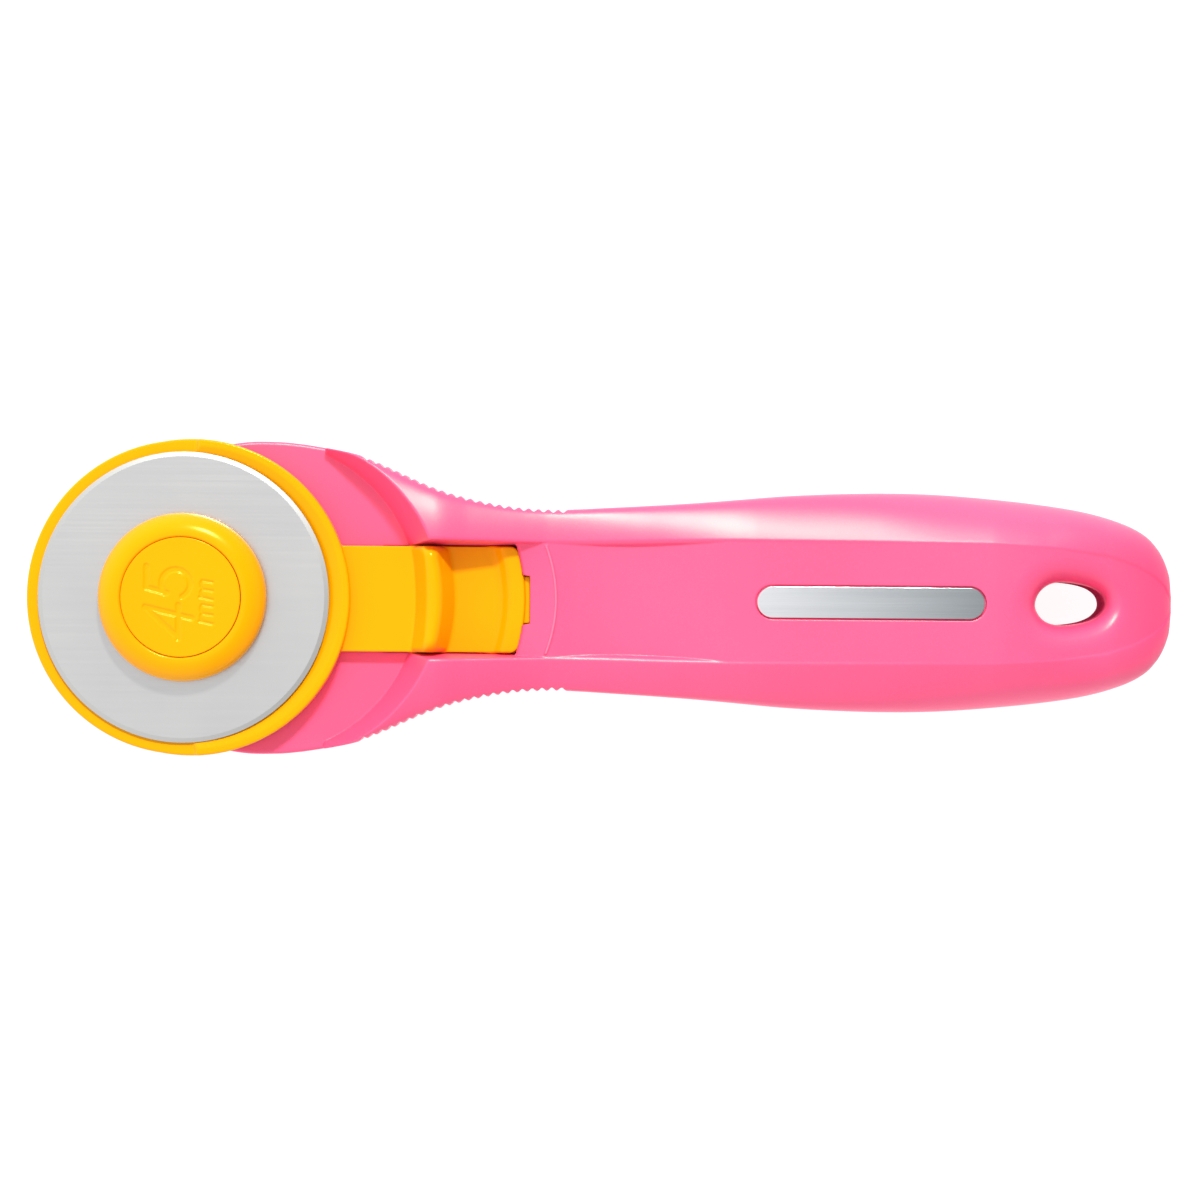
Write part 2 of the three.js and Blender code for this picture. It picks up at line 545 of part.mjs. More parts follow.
// -------------------------------------------------------------- blade guard
const guard = (() => {
  const outline = [
    ...arcPoints(BLADE_X, 0, GUARD_R1, Math.PI / 2, (3 * Math.PI) / 2, 40),
    ...arcPoints(BLADE_X + GUARD_DX, 0, GUARD_R2, -Math.PI / 2, Math.PI / 2, 40),
  ];
  let g = prism(outline, GUARD_Z0, GUARD_EDGE_Z);
  // shallow pan under the blade
  g = g.subtract(drum(BLADE_X, 0, 20.4, 20.9, GUARD_PLATE_Z, GUARD_EDGE_Z + 1, 48));
  // raised rim on the rear half, with a bevelled inner side
  const rimOuter = [
    ...arcPoints(BLADE_X + GUARD_DX, 0, GUARD_R2, -1.47, 1.47, 36),
  ];
  const rimInnerTop = arcPoints(BLADE_X + GUARD_DX, 0, GUARD_R2 - 1.25, 1.47, -1.47, 36);
  const rimInnerLow = arcPoints(BLADE_X + GUARD_DX, 0, GUARD_R2 - 2.1, 1.47, -1.47, 36);
  const ring = (inner, z) => [...rimOuter, ...inner].map((p) => [p[0], p[1], z]);
  const a = ring(rimInnerLow, GUARD_EDGE_Z - 0.5);
  const b = ring(rimInnerLow, GUARD_EDGE_Z);
  const c = ring(rimInnerTop, GUARD_RIM_Z);
  // the rim as a strip of hulls keeps its caps flat
  const n = rimOuter.length;
  const strip = [];
  for (let i = 0; i < n; i++) {
    const o = rimOuter[i];
    const il = rimInnerLow[n - 1 - i];
    const it = rimInnerTop[n - 1 - i];
    strip.push([
      [o[0], o[1], GUARD_EDGE_Z - 0.5], [o[0], o[1], GUARD_RIM_Z],
      [it[0], it[1], GUARD_RIM_Z], [il[0], il[1], GUARD_EDGE_Z], [il[0], il[1], GUARD_EDGE_Z - 0.5],
    ]);
  }
  g = g.add(solid(loft(strip)));
  // arm, saddle, ridge, lip and tail
  g = g.add(box(-43.5, -26, -ARM_HALF, ARM_HALF, GUARD_Z0, ARM_Z));
  const tail = (() => {
    const ys = [-8.2, -7.95, -7.3, -6, -4, -2, 0, 2, 4, 6, 7.3, 7.95, 8.2];
    const s = (y, R) => R - Math.sqrt(R * R - y * y);
    // corner rounding of the lip's rear corners
    const back = (y) => {
      const e = Math.abs(y);
      const r = 1.1;
      const k = e > ARM_HALF - r ? r - Math.sqrt(Math.max(r * r - (e - (ARM_HALF - r)) ** 2, 0)) : 0;
      return s(y, 28) + k;
    };
    const rings = ys.map((y) => [
      [-30, y, GUARD_Z0], [-30, y, SADDLE_Z],
      [-15.8 - s(y, 26), y, SADDLE_Z], [-14.1 - s(y, 27), y, LIP_Z],
      [-12.0 - back(y), y, LIP_Z], [-11.8 - back(y), y, LIP_Z - 0.2],
      [-11.8 - back(y), y, GUARD_Z0],
    ]);
    return solid(loft(rings));
  })();
  g = g.add(tail);
  // thumb ridge
  const ridge = (() => {
    const ys = [-8.2, -7.75, -7.2, -6.4, -4.2, -2.1, 0, 2.1, 4.2, 6.4, 7.2, 7.75, 8.2];
    const s = (y, R) => R - Math.sqrt(R * R - y * y);
    const rings = ys.map((y) => {
      const e = Math.abs(y);
      const zTop = e >= 8.19 ? SADDLE_Z + 0.9 : e > 7.7 ? SADDLE_Z + 2.6 : e > 7.1 ? RIDGE_Z - 1.0 : e > 6.3 ? RIDGE_Z - 0.12 : RIDGE_Z;
      const f = (zTop - SADDLE_Z) / (RIDGE_Z - SADDLE_Z);
      const fb = -28.9 - s(y, 42);
      const rb = -22.7 - s(y, 27);
      const ft = fb + (2.1 + s(y, 42) * 0.3) * f;
      const rt = rb - (2.0) * f;
      return [
        [fb - 0.05, y, GUARD_Z0 + 0.3], [fb, y, SADDLE_Z + 0.2],
        [ft - 0.15, y, zTop - 0.45 * f], [ft + 0.35, y, zTop],
        [rt - 0.35, y, zTop], [rt + 0.15, y, zTop - 0.45 * f],
        [rb, y, SADDLE_Z], [rb + 0.05, y, GUARD_Z0 + 0.3],
      ];
    });
    return solid(loft(rings));
  })();
  g = g.add(ridge);
  // tab behind the lip, and the tongue that keeps the tail down under the roof
  g = g.add(box(-13, TAB_END_X, -3.65, 3.65, GUARD_Z0, TAB_Z));
  g = g.add(box(-13, -7.0, -8.0, 8.0, GUARD_Z0, 14.3));
  // slot for the boss of the head
  const slot = [
    ...arcPoints(BLADE_X, 0, BOSS_R + 0.35, -Math.PI / 2, Math.PI / 2, 16),
    ...arcPoints(BLADE_X - GUARD_TRAVEL, 0, BOSS_R + 0.35, Math.PI / 2, (3 * Math.PI) / 2, 16),
  ];
  g = g.subtract(prism(slot, 10, 20));
  // the ridge is hollow underneath, and the tail has two detent notches
  g = g.subtract(prismY([[-27.6, 12], [-24.2, 12], [-24.6, 17.6], [-26.6, 17.6]], -6.2, 6.2));
  g = g.subtract(box(-19.6, -18.4, -2.6, 2.6, 12, 13.4));
  g = g.subtract(box(-19.6 - GUARD_TRAVEL + 0.0, -18.4 - GUARD_TRAVEL, -2.6, 2.6, 12, 13.4));
  return g;
})();

// ------------------------------------------------------------- small pieces
const blade = turned([
  [BLADE_HOLE_R, BLADE_Z], [BLADE_R - 1.0, BLADE_Z], [BLADE_R, BLADE_Z + 0.13], [BLADE_R, BLADE_Z + 0.17],
  [BLADE_R - 1.0, BLADE_Z + BLADE_T], [BLADE_HOLE_R, BLADE_Z + BLADE_T], [BLADE_HOLE_R, BLADE_Z],
], BLADE_X, 0, 64);

const capRing = turned([
  [PIN_R + 0.3, 17.15], [12.4, 17.15], [CAP_R, 17.75], [12.85, 18.8],
  [12.0, 20.05], [10.8, 20.8], [9.8, CAP_TOP_Z], [9.5, 20.7], [9.5, 18.25],
  [PIN_R + 0.3, 18.25], [PIN_R + 0.3, 17.15],
], BLADE_X, 0, 48);

const capInsert = turned([
  [0, 19.75], [7.3, 19.75], [7.3, 18.55], [INSERT_R, 18.55], [INSERT_R, 20.8], [INSERT_R - 0.2, CAP_TOP_Z], [0, CAP_TOP_Z],
], BLADE_X, 0, 48);

const axlePin = turned([
  [0, PIN_END_Z], [PIN_R - 0.7, PIN_END_Z], [PIN_R, PIN_END_Z + 0.9], [PIN_R, GROOVE_Z[0] - 0.15], [GROOVE_R, GROOVE_Z[0] + 0.2],
  [GROOVE_R, GROOVE_Z[1] - 0.1], [PIN_R, GROOVE_Z[1] + 0.15], [PIN_R, 18.5], [7.0, 18.5], [7.0, 19.2], [6.75, 19.45], [0, 19.45],
], BLADE_X, 0, 32);

const curvedWasher = turned([
  [PIN_R + 0.4, 16.58], [9.2, 16.82], [9.2, 17.02], [PIN_R + 0.4, 16.78], [PIN_R + 0.4, 16.58],
], BLADE_X, 0, 36);

// U-shaped wire that clasps the groove of the axle pin
const retainingSpring = (() => {
  const z = (GROOVE_Z[0] + GROOVE_Z[1]) / 2;
  const y = GROOVE_R + 0.65;
  const pts = [];
  pts.push([BLADE_X + 9.5, 5.6], [BLADE_X + 7.2, y + 0.2], [BLADE_X + 4, y], [BLADE_X, y], [BLADE_X - 4, y]);
  for (let i = 1; i < 8; i++) {
    const a = Math.PI / 2 + (Math.PI * i) / 8;
    pts.push([BLADE_X - 5.2 + y * 1.05 * Math.cos(a), y * Math.sin(a)]);
  }
  pts.push([BLADE_X - 4, -y], [BLADE_X, -y], [BLADE_X + 4, -y], [BLADE_X + 7.2, -y - 0.2], [BLADE_X + 9.5, -5.6]);
  const path = new THREE.CatmullRomCurve3(pts.map((p) => new THREE.Vector3(p[0], p[1], z)), false, 'catmullrom', 0.3);
  const shape = new THREE.Shape();
  for (let i = 0; i < 6; i++) {
    const a = (Math.PI * 2 * i) / 6 + Math.PI / 6;
    if (i === 0) shape.moveTo(0.5 * Math.cos(a), 0.5 * Math.sin(a));
    else shape.lineTo(0.5 * Math.cos(a), 0.5 * Math.sin(a));
  }
  return solid(new THREE.ExtrudeGeometry(shape, { extrudePath: path, steps: 32, bevelEnabled: false }));
})();

// leaf spring under the guard's tail, with a bump for the detent notches
const detentSpring = prismY([
  [-24.8, 11.75], [-21.4, 11.75], [-20.0, 12.2], [-19.3, 12.45], [-18.7, 12.45], [-18.0, 12.2], [-16.6, 11.75],
  [-8.0, 11.75], [-8.0, 12.1], [-16.5, 12.1], [-17.8, 12.55], [-18.6, 12.85], [-19.4, 12.85], [-20.2, 12.55],
  [-21.5, 12.1], [-24.8, 12.1],
], -2.4, 2.4);

const namePlate = prism(stadium(PLATE_C[0], PLATE_C[1], PLATE_L - 0.1, PLATE_W - 0.1), PANEL_Z - 0.7, PANEL_Z - 0.15);

function screw(x, y) {
  const z0 = screwSeat(x);
  const z1 = z0 + SCREW_HEAD_T;
  const body = turned([
    [0, z0], [SCREW_HEAD_R - 0.5, z0], [SCREW_HEAD_R, z0 + 0.5], [SCREW_HEAD_R, z1 - 0.05], [SCREW_SHANK_R, z1 - 0.05],
    [SCREW_SHANK_R, z0 + SCREW_L - 1.2], [0.3, z0 + SCREW_L], [0, z0 + SCREW_L],
  ], x, y, 20);
  // cross recess
  return body.subtract(box(x - 1.4, x + 1.4, y - 0.3, y + 0.3, z0 - 1, z0 + 1.0))
    .subtract(box(x - 0.3, x + 0.3, y - 1.4, y + 1.4, z0 - 1, z0 + 1.0));
}

// ------------------------------------------------------------------ assembly
const PINK = { color: 0xff6ea3, roughness: 0.48, metalness: 0 };
const YELLOW = { color: 0xffc414, roughness: 0.3, metalness: 0 };
const STEEL = { color: 0xc8c9cb, roughness: 0.28, metalness: 1 };
const SPRING = { color: 0x9a9ca0, roughness: 0.35, metalness: 1 };
const ZINC = { color: 0xb4b6b9, roughness: 0.32, metalness: 1 };

function part(name, m, look) {
  const mesh = new THREE.Mesh(geometryOf(m), new THREE.MeshStandardMaterial(look));
  mesh.name = name;
  return mesh;
}

const group = new THREE.Group();
const handle = new THREE.Group();
handle.add(part('handle_front_shell', frontShell, PINK));
handle.add(part('handle_back_shell', backShell, PINK));
handle.add(part('name_plate', namePlate, { color: 0xc3c8cc, roughness: 0.34, metalness: 1 }));
handle.add(part('retaining_spring', retainingSpring, SPRING));
handle.add(part('detent_spring', detentSpring, SPRING));
for (const [name, x, y] of SCREWS) handle.add(part(name, screw(x, y), ZINC));
const axle = new THREE.Group();
axle.add(part('axle_pin', axlePin, ZINC));
axle.add(part('cap_ring', capRing, YELLOW));
axle.add(part('cap_insert', capInsert, YELLOW));
axle.add(part('curved_washer', curvedWasher, SPRING));
axle.add(part('blade', blade, STEEL));
group.add(handle, axle);
group.add(part('blade_guard', guard, YELLOW));

export default group;
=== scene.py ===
import json
import math

import bmesh
import bpy
import numpy as np
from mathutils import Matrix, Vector

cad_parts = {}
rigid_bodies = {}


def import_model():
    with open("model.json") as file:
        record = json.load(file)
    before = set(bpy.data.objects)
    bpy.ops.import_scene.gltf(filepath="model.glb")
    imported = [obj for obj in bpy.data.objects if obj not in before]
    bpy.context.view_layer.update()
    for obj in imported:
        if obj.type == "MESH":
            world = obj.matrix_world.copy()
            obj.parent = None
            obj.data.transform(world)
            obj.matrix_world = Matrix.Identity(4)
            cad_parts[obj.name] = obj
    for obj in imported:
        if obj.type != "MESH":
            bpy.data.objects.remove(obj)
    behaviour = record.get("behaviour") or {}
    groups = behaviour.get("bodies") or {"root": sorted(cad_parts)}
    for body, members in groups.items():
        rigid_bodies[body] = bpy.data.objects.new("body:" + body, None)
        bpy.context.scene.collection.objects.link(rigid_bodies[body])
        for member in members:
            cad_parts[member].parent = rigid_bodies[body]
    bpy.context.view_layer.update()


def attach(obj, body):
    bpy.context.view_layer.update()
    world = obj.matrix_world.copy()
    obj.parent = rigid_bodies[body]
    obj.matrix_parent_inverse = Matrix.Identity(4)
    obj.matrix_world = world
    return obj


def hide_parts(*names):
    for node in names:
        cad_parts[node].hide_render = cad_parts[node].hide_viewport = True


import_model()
MM = 0.001

# ------------------------------------------------------------------ sizes, mm
BLADE_X, BLADE_R, BLADE_T, BLADE_HOLE_R, BLADE_Z = -64.65, 22.5, 0.3, 4.15, 16.2
PLATE_Z, HEAD_BACK_Z, PART_Z, PART_GAP, WALL = 12.7, 6.8, 10.0, 0.06, 2.2
HEAD_X, HEAD_R, RECESS_X, RECESS_R, RECESS_DRAFT = -53.0, 24.3, -52.9, 24.4, 0.4245
GUARD_TRAVEL, GUARD_R1, GUARD_R2, GUARD_DX = 9.6, 24.3, 24.5, 1.2
GUARD_Z0, GUARD_PLATE_Z, GUARD_EDGE_Z, GUARD_RIM_Z = 13.0, 15.2, 15.9, 16.6
BOSS_R, BOSS_Z, ARM_HALF, ARM_Z, SADDLE_Z = 6.0, 15.9, 8.2, 14.8, 14.6
LIP_Z, TAB_Z, RIDGE_Z = 15.95, 15.55, 19.4
SLOT_HALF, SLOT_DRAFT, ROOF_Z, ROOF_EDGE_X, CHANNEL_END_X = 8.45, 0.115, 16.2, -11.2, 3.6
TAB_END_X = -11.0
CAP_R, CAP_TOP_Z, INSERT_R, PIN_R, PIN_END_Z, GROOVE_R = 13.0, 21.0, 9.2, 4.0, 7.2, 3.1
GROOVE_Z = (9.05, 10.45)
PLATE_CX, PLATE_L, PLATE_W, PANEL_Z = 41.4, 35.2, 5.0, 20.6
RIB_DEPTH, RIB_PITCH, RIB_X = 0.55, 1.5, (-37.3, -5.3)
SCREWS = [("handle_screw_1", -27.0, 14.0), ("handle_screw_2", -27.0, -14.0),
          ("handle_screw_3", 16.0, 0.0), ("handle_screw_4", 57.0, 0.0)]
SCREW_HEAD_R, SCREW_HEAD_T, SCREW_SHANK_R, SCREW_L = 2.5, 1.7, 1.25, 9.5

OUTLINE = [
    (-56.2, 24.25), (-53, 24.3), (-50, 24.24), (-46.9, 23.96), (-43.8, 23.5), (-40.7, 22.92),
    (-37.6, 22.2), (-35.7, 21.5), (-32.95, 20.34), (-30.1, 19.05), (-27.3, 17.83),
    (-24.6, 16.8), (-21.6, 15.94), (-18.65, 15.27), (-15.7, 14.73), (-12.6, 14.32),
    (-9.4, 14.1), (-6.5, 14.02), (-3.4, 14.12), (-0.24, 14.3), (2.9, 14.48), (6.0, 14.65),
    (9.1, 14.84), (12.3, 15.05), (15.4, 15.28), (18.5, 15.54), (21.6, 15.82),
    (24.8, 16.12), (27.9, 16.38), (31.0, 16.58), (34.1, 16.74), (37.3, 16.87),
    (40.4, 16.96), (43.5, 17.02), (46.6, 17.02), (49.8, 16.96), (52.9, 16.84),
    (56.0, 16.65), (59.1, 16.4), (62.3, 16.11), (65.4, 15.8), (68.5, 15.43),
    (71.6, 15.0), (74.8, 14.44), (77.9, 13.7), (81.0, 12.7), (82.6, 12.03), (83.8, 11.4),
    (85.1, 10.5), (85.7, 9.95), (86.3, 9.25), (86.95, 8.4), (87.6, 7.25), (88.2, 5.8),
    (88.7, 3.9), (88.95, 1.6)]
TOP = [
    (-60, 19.6), (-46, 20.0), (-38, 20.6), (-32, 20.9), (-26, 20.9), (-20.4, 19.9), (-14.2, 18.8),
    (-11, 18.28), (-8, 17.93), (-4.5, 17.8), (0, 18.0), (6, 18.65), (12, 19.5), (18, 20.25), (22, 20.55),
    (24, 20.6), (60, 20.6), (65, 20.25), (70, 19.45), (75, 18.2), (79, 16.9), (82.5, 15.3),
    (85.1, 13.9), (86.95, 12.7), (88.2, 11.6), (88.95, 10.5)]
BACK = [
    (-60, 6.8), (-39, 6.8), (-36, 6.3), (-32, 4.5), (-28, 2.2), (-24, 0.6), (-21, 0),
    (68, 0), (72, 0.35), (76, 1.15), (80, 2.5), (83.5, 4.2), (86, 6.0), (87.6, 7.4),
    (88.5, 8.6), (88.95, 9.5)]
CREASE = [
    (-60, 9.2), (-26, 9.2), (-16, 8.95), (-8, 8.75), (0, 8.85), (10, 9.1), (20, 9.25), (60, 9.1), (70, 8.5),
    (78, 7.4), (82.6, 6.0), (85.7, 4.4), (87.6, 2.8), (88.95, 0.5)]
HOLLOW = [
    (-60, 0), (-8, 0), (-4, 0.35), (1, 0.75), (6, 0.9), (11, 0.75), (16, 0.35), (19.5, 0), (90, 0)]
SQUARE = [(-60, 12), (-30, 14), (6, 14), (18.5, 11), (31, 8), (43, 5), (56, 3.5), (70, 2.6), (78, 2.3), (90, 2.2)]
TILT = [(-60, 0.03), (-30, 0.04), (-6, 0.03), (6, 0.06), (18.5, 0.14), (31, 0.2), (43, 0.25), (56, 0.34), (68, 0.3), (74, 0.1), (79, 0), (90, 0)]
CROWN = [(-60, 0.18), (-31, 0.185), (-20, 0.134), (-6, 0.095), (6, 0.13), (18.5, 0.1), (31, 0.13), (43, 0.1), (56, 0.06),
         (70, 0.02), (78, 0), (90, 0)]
HOLE = [
    (67.0, -0.05), (67.35, -1.3), (68.3, -2.45), (69.6, -3.05), (71.4, -3.27), (73.4, -3.08),
    (75.3, -2.68), (76.95, -1.9), (77.95, -0.7), (78.05, 0.4), (77.6, 1.5), (76.3, 2.5),
    (74.2, 3.12), (71.4, 3.43), (69.2, 3.05), (67.6, 1.7)]
HOLE_FLARE, HOLE_FLARE_BACK = 4.2, 2.6

F32 = np.float32


# ------------------------------------------------------------------- tables
def smooth_table(table):
    """Monotone cubic through a table."""
    tx = np.array([p[0] for p in table], float)
    ty = np.array([p[1] for p in table], float)
    h = np.diff(tx)
    d = np.diff(ty) / h
    m = np.zeros(len(tx))
    for i in range(1, len(tx) - 1):
        if d[i - 1] * d[i] > 0:
            w1, w2 = 2 * h[i] + h[i - 1], h[i] + 2 * h[i - 1]
            m[i] = (w1 + w2) / (w1 / d[i - 1] + w2 / d[i])
    m[0], m[-1] = d[0], d[-1]

    def at(x):
        x = np.clip(np.asarray(x, float), tx[0], tx[-1])
        i = np.clip(np.searchsorted(tx, x, side="right") - 1, 0, len(tx) - 2)
        t = (x - tx[i]) / h[i]
        t2, t3 = t * t, t * t * t
        return ((2 * t3 - 3 * t2 + 1) * ty[i] + (t3 - 2 * t2 + t) * h[i] * m[i]
                + (-2 * t3 + 3 * t2) * ty[i + 1] + (t3 - t2) * h[i] * m[i + 1])

    return at


def lerp_table(table):
    tx = [p[0] for p in table]
    ty = [p[1] for p in table]
    return lambda x: np.interp(x, tx, ty)


top_z, back_z, hollow_z, half_w, square, tilt, crown = (smooth_table(t) for t in (TOP, BACK, HOLLOW, OUTLINE, SQUARE, TILT, CROWN))
crease = lerp_table(CREASE)


def spaced(*runs):
    """Grid lines: (end, step) runs after a start value."""
    out = [runs[0]]
    for end, step in runs[1:]:
        step = step * 1.0
        n = max(1, int(round((end - out[-1]) / step)))
        a = out[-1]
        out += [a + (end - a) * (i + 1) / n for i in range(n)]
    return np.array(out, F32)


# ------------------------------------------------- joins and cuts of distances
def both(a, b, r):
    """Intersection with a rounded edge of radius r."""
    return np.minimum(-r, np.maximum(a, b)) + np.sqrt(np.maximum(r + a, 0) ** 2 + np.maximum(r + b, 0) ** 2)


def join(a, b, r):
    """Union with a fillet of radius r."""
    return np.maximum(r, np.minimum(a, b)) - np.sqrt(np.maximum(r - a, 0) ** 2 + np.maximum(r - b, 0) ** 2)


def cut(a, b, r):
    return both(a, -b, r)


def sag(y, r):
    return r - np.sqrt(np.maximum(r * r - y * y, 0.01))


def stadium(x, y, cx, length, width):
    r = width / 2
    q = np.abs(x - cx) - (length / 2 - r)
    return np.hypot(np.maximum(q, 0), y) - r + np.minimum(q, 0) * 0


def smoothstep(e0, e1, x):
    t = np.clip((x - e0) / (e1 - e0), 0, 1)
    return t * t * (3 - 2 * t)


# ------------------------------------------------------------- surface mesher
class Field:
    """A distance field on a grid of uneven lines, and the mesh of its zero surface."""

    def __init__(self, f, xs, ys, zs):
        self.f = np.ascontiguousarray(f, F32)
        self.axes = [np.asarray(a, float) for a in (xs, ys, zs)]

    def sample(self, p):
        idx, frac = [], []
        for k in range(3):
            a = self.axes[k]
            i = np.clip(np.searchsorted(a, p[:, k]) - 1, 0, len(a) - 2)
            idx.append(i)
            frac.append(np.clip((p[:, k] - a[i]) / (a[i + 1] - a[i]), 0, 1).astype(F32))
        _, ny, nz = self.f.shape
        base = (idx[0] * ny + idx[1]) * nz + idx[2]
        g = self.f.ravel()
        fx, fy, fz = frac
        c = []
        for dx in (0, 1):
            for dy in (0, 1):
                o = base + (dx * ny + dy) * nz
                c.append(g[o] * (1 - fz) + g[o + 1] * fz)
        return (c[0] * (1 - fy) + c[1] * fy) * (1 - fx) + (c[2] * (1 - fy) + c[3] * fy) * fx

    def gradient(self, p, e=0.13):
        out = np.zeros((len(p), 3))
        for k in range(3):
            d = np.zeros(3)
            d[k] = e
            out[:, k] = self.sample(p + d) - self.sample(p - d)
        return out / np.maximum(np.linalg.norm(out, axis=1), 1e-9)[:, None]

    def mesh(self):
        f = self.f
        s = f < 0
        tot = np.zeros([n - 1 for n in f.shape], np.int8)
        for dx in (0, 1):
            for dy in (0, 1):
                for dz in (0, 1):
                    tot += s[dx:f.shape[0] - 1 + dx, dy:f.shape[1] - 1 + dy, dz:f.shape[2] - 1 + dz]
        act = (tot > 0) & (tot < 8)
        cells = np.argwhere(act)
        index = np.full(act.shape, -1, np.int64)
        index[act] = np.arange(len(cells))
        _, ny, nz = f.shape
        base = (cells[:, 0] * ny + cells[:, 1]) * nz + cells[:, 2]
        g = f.ravel()
        corner = {}
        for dx in (0, 1):
            for dy in (0, 1):
                for dz in (0, 1):
                    corner[dx, dy, dz] = g[base + (dx * ny + dy) * nz + dz]
        lo = np.stack([self.axes[k][cells[:, k]] for k in range(3)], 1)
        size = np.stack([self.axes[k][cells[:, k] + 1] for k in range(3)], 1) - lo
        acc = np.zeros((len(cells), 3))
        count = np.zeros(len(cells))
        for k in range(3):
            for u in (0, 1):
                for v in (0, 1):
                    a = [u, v]
                    a.insert(k, 0)
                    b = [u, v]
                    b.insert(k, 1)
                    fa, fb = corner[tuple(a)], corner[tuple(b)]
                    m = (fa < 0) != (fb < 0)
                    t = np.where(m, fa / np.where(m, fa - fb, 1), 0)
                    pos = np.empty((len(cells), 3))
                    pos[:] = a
                    pos[:, k] = t
                    acc += pos * m[:, None]
                    count += m
        verts = lo + size * acc / np.maximum(count, 1)[:, None]
        quads = []
        for k in range(3):
            o = [i for i in range(3) if i != k]
            a = [slice(1, f.shape[i] - 1) for i in range(3)]
            b = [slice(1, f.shape[i] - 1) for i in range(3)]
            a[k], b[k] = slice(0, f.shape[k] - 1), slice(1, f.shape[k])
            sa, sb = s[tuple(a)], s[tuple(b)]
            for flip, hit in ((False, sa & ~sb), (True, ~sa & sb)):
                e = np.argwhere(hit)
                if not len(e):
                    continue
                e[:, o[0]] += 1
                e[:, o[1]] += 1
                around = []
                for du, dv in ((0, 0), (1, 0), (1, 1), (0, 1)):
                    c = e.copy()
                    c[:, o[0]] -= du
                    c[:, o[1]] -= dv
                    around.append(index[c[:, 0], c[:, 1], c[:, 2]])
                q = np.stack(around, 1)
                if flip != (k == 1):
                    q = q[:, ::-1]
                quads.append(q)
        return verts, np.concatenate(quads)


def mesh_from(name, verts, faces):
    """A mesh of triangles or quads, in metres."""
    me = bpy.data.meshes.new(name)
    n = faces.shape[1]
    me.vertices.add(len(verts))
    me.vertices.foreach_set("co", (verts * MM).astype(F32).ravel())
    me.loops.add(faces.size)
    me.loops.foreach_set("vertex_index", faces.astype(np.int32).ravel())
    me.polygons.add(len(faces))
    me.polygons.foreach_set("loop_start", np.arange(0, faces.size, n, dtype=np.int32))
    me.update(calc_edges=True)
    me.validate()
    return me


def add(name, me, material, body, *replaced):
    ob = bpy.data.objects.new(name, me)
    bpy.context.scene.collection.objects.link(ob)
    me.materials.clear()
    me.materials.append(material)
    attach(ob, body)
    if replaced:
        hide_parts(*replaced)
    return ob


def moulded(name, field, target, material, body, node, reach=0.13):
    """The zero surface of a field as a piece, thinned to at most target triangles, with the field's own normals."""
    verts, quads = field.mesh()
    me = mesh_from(name, verts, quads)
    ob = bpy.data.objects.new(name + "_tmp", me)
    bpy.context.scene.collection.objects.link(ob)
    faces = 2 * len(quads)
    if faces > target:
        thin = ob.modifiers.new("thin", "DECIMATE")
        thin.ratio = target / faces
        thin.use_collapse_triangulate = True
        dg = bpy.context.evaluated_depsgraph_get()
        me2 = bpy.data.meshes.new_from_object(ob.evaluated_get(dg))
        bpy.data.objects.remove(ob)
        bpy.data.meshes.remove(me)
        me = me2
        me.name = name
    else:
        bpy.data.objects.remove(ob)
    # normals of each face corner, read a little way into the face
    co = np.zeros(len(me.vertices) * 3, F32)
    me.vertices.foreach_get("co", co)
    co = co.reshape(-1, 3) / MM
    lv = np.zeros(len(me.loops), np.int32)
    me.loops.foreach_get("vertex_index", lv)
    start = np.zeros(len(me.polygons), np.int32)
    total = np.zeros(len(me.polygons), np.int32)
    me.polygons.foreach_get("loop_start", start)
    me.polygons.foreach_get("loop_total", total)
    face_of = np.repeat(np.arange(len(start)), total)
    centre = np.add.reduceat(co[lv], start, axis=0) / total[:, None]
    p = co[lv].astype(float)
    d = centre[face_of] - p
    l = np.maximum(np.linalg.norm(d, axis=1), 1e-6)
    p += d * np.minimum(0.92 * reach / l, 0.4)[:, None]
    nrm = field.gradient(p, reach)
    # never let it point away from the face
    fn = np.zeros(len(me.polygons) * 3, F32)
    me.polygons.foreach_get("normal", fn)
    fn = fn.reshape(-1, 3)[face_of]
    bad = (nrm * fn).sum(1) < 0.3
    nrm[bad] = fn[bad]
    me.polygons.foreach_set("use_smooth", np.ones(len(me.polygons), bool))
    me.normals_split_custom_set(nrm.tolist())
    me.update()
    print(name, "triangles", int((total - 2).sum()), "of", faces)
    return add(name, me, material, body, node)


def full(f, ys):
    """Mirror a half grid in Y."""
    return np.concatenate([f[:, :0:-1, :], f], axis=1), np.concatenate([-ys[:0:-1], ys])


# ---------------------------------------------------------- grip, both shells
def distance(F, xs, ys, zs):
    g = np.sqrt(np.gradient(F, xs, axis=0) ** 2 + np.gradient(F, ys, axis=1) ** 2 + np.gradient(F, zs, axis=2) ** 2)
    return np.clip(F / np.maximum(g, 1e-3), -9, 9).astype(F32)


def plan_outline(xs, ys):
    """Distance in plan from the outline, on a half grid."""
    X, Y = xs[:, None].astype(float), ys[None, :].astype(float)
    w = half_w(X)
    s = (half_w(X + 0.05) - half_w(X - 0.05)) / 0.1
    side = (Y - w) / np.sqrt(1 + s * s)
    head = np.hypot(X - HEAD_X, Y) - HEAD_R
    return np.where(X < HEAD_X, head, side)


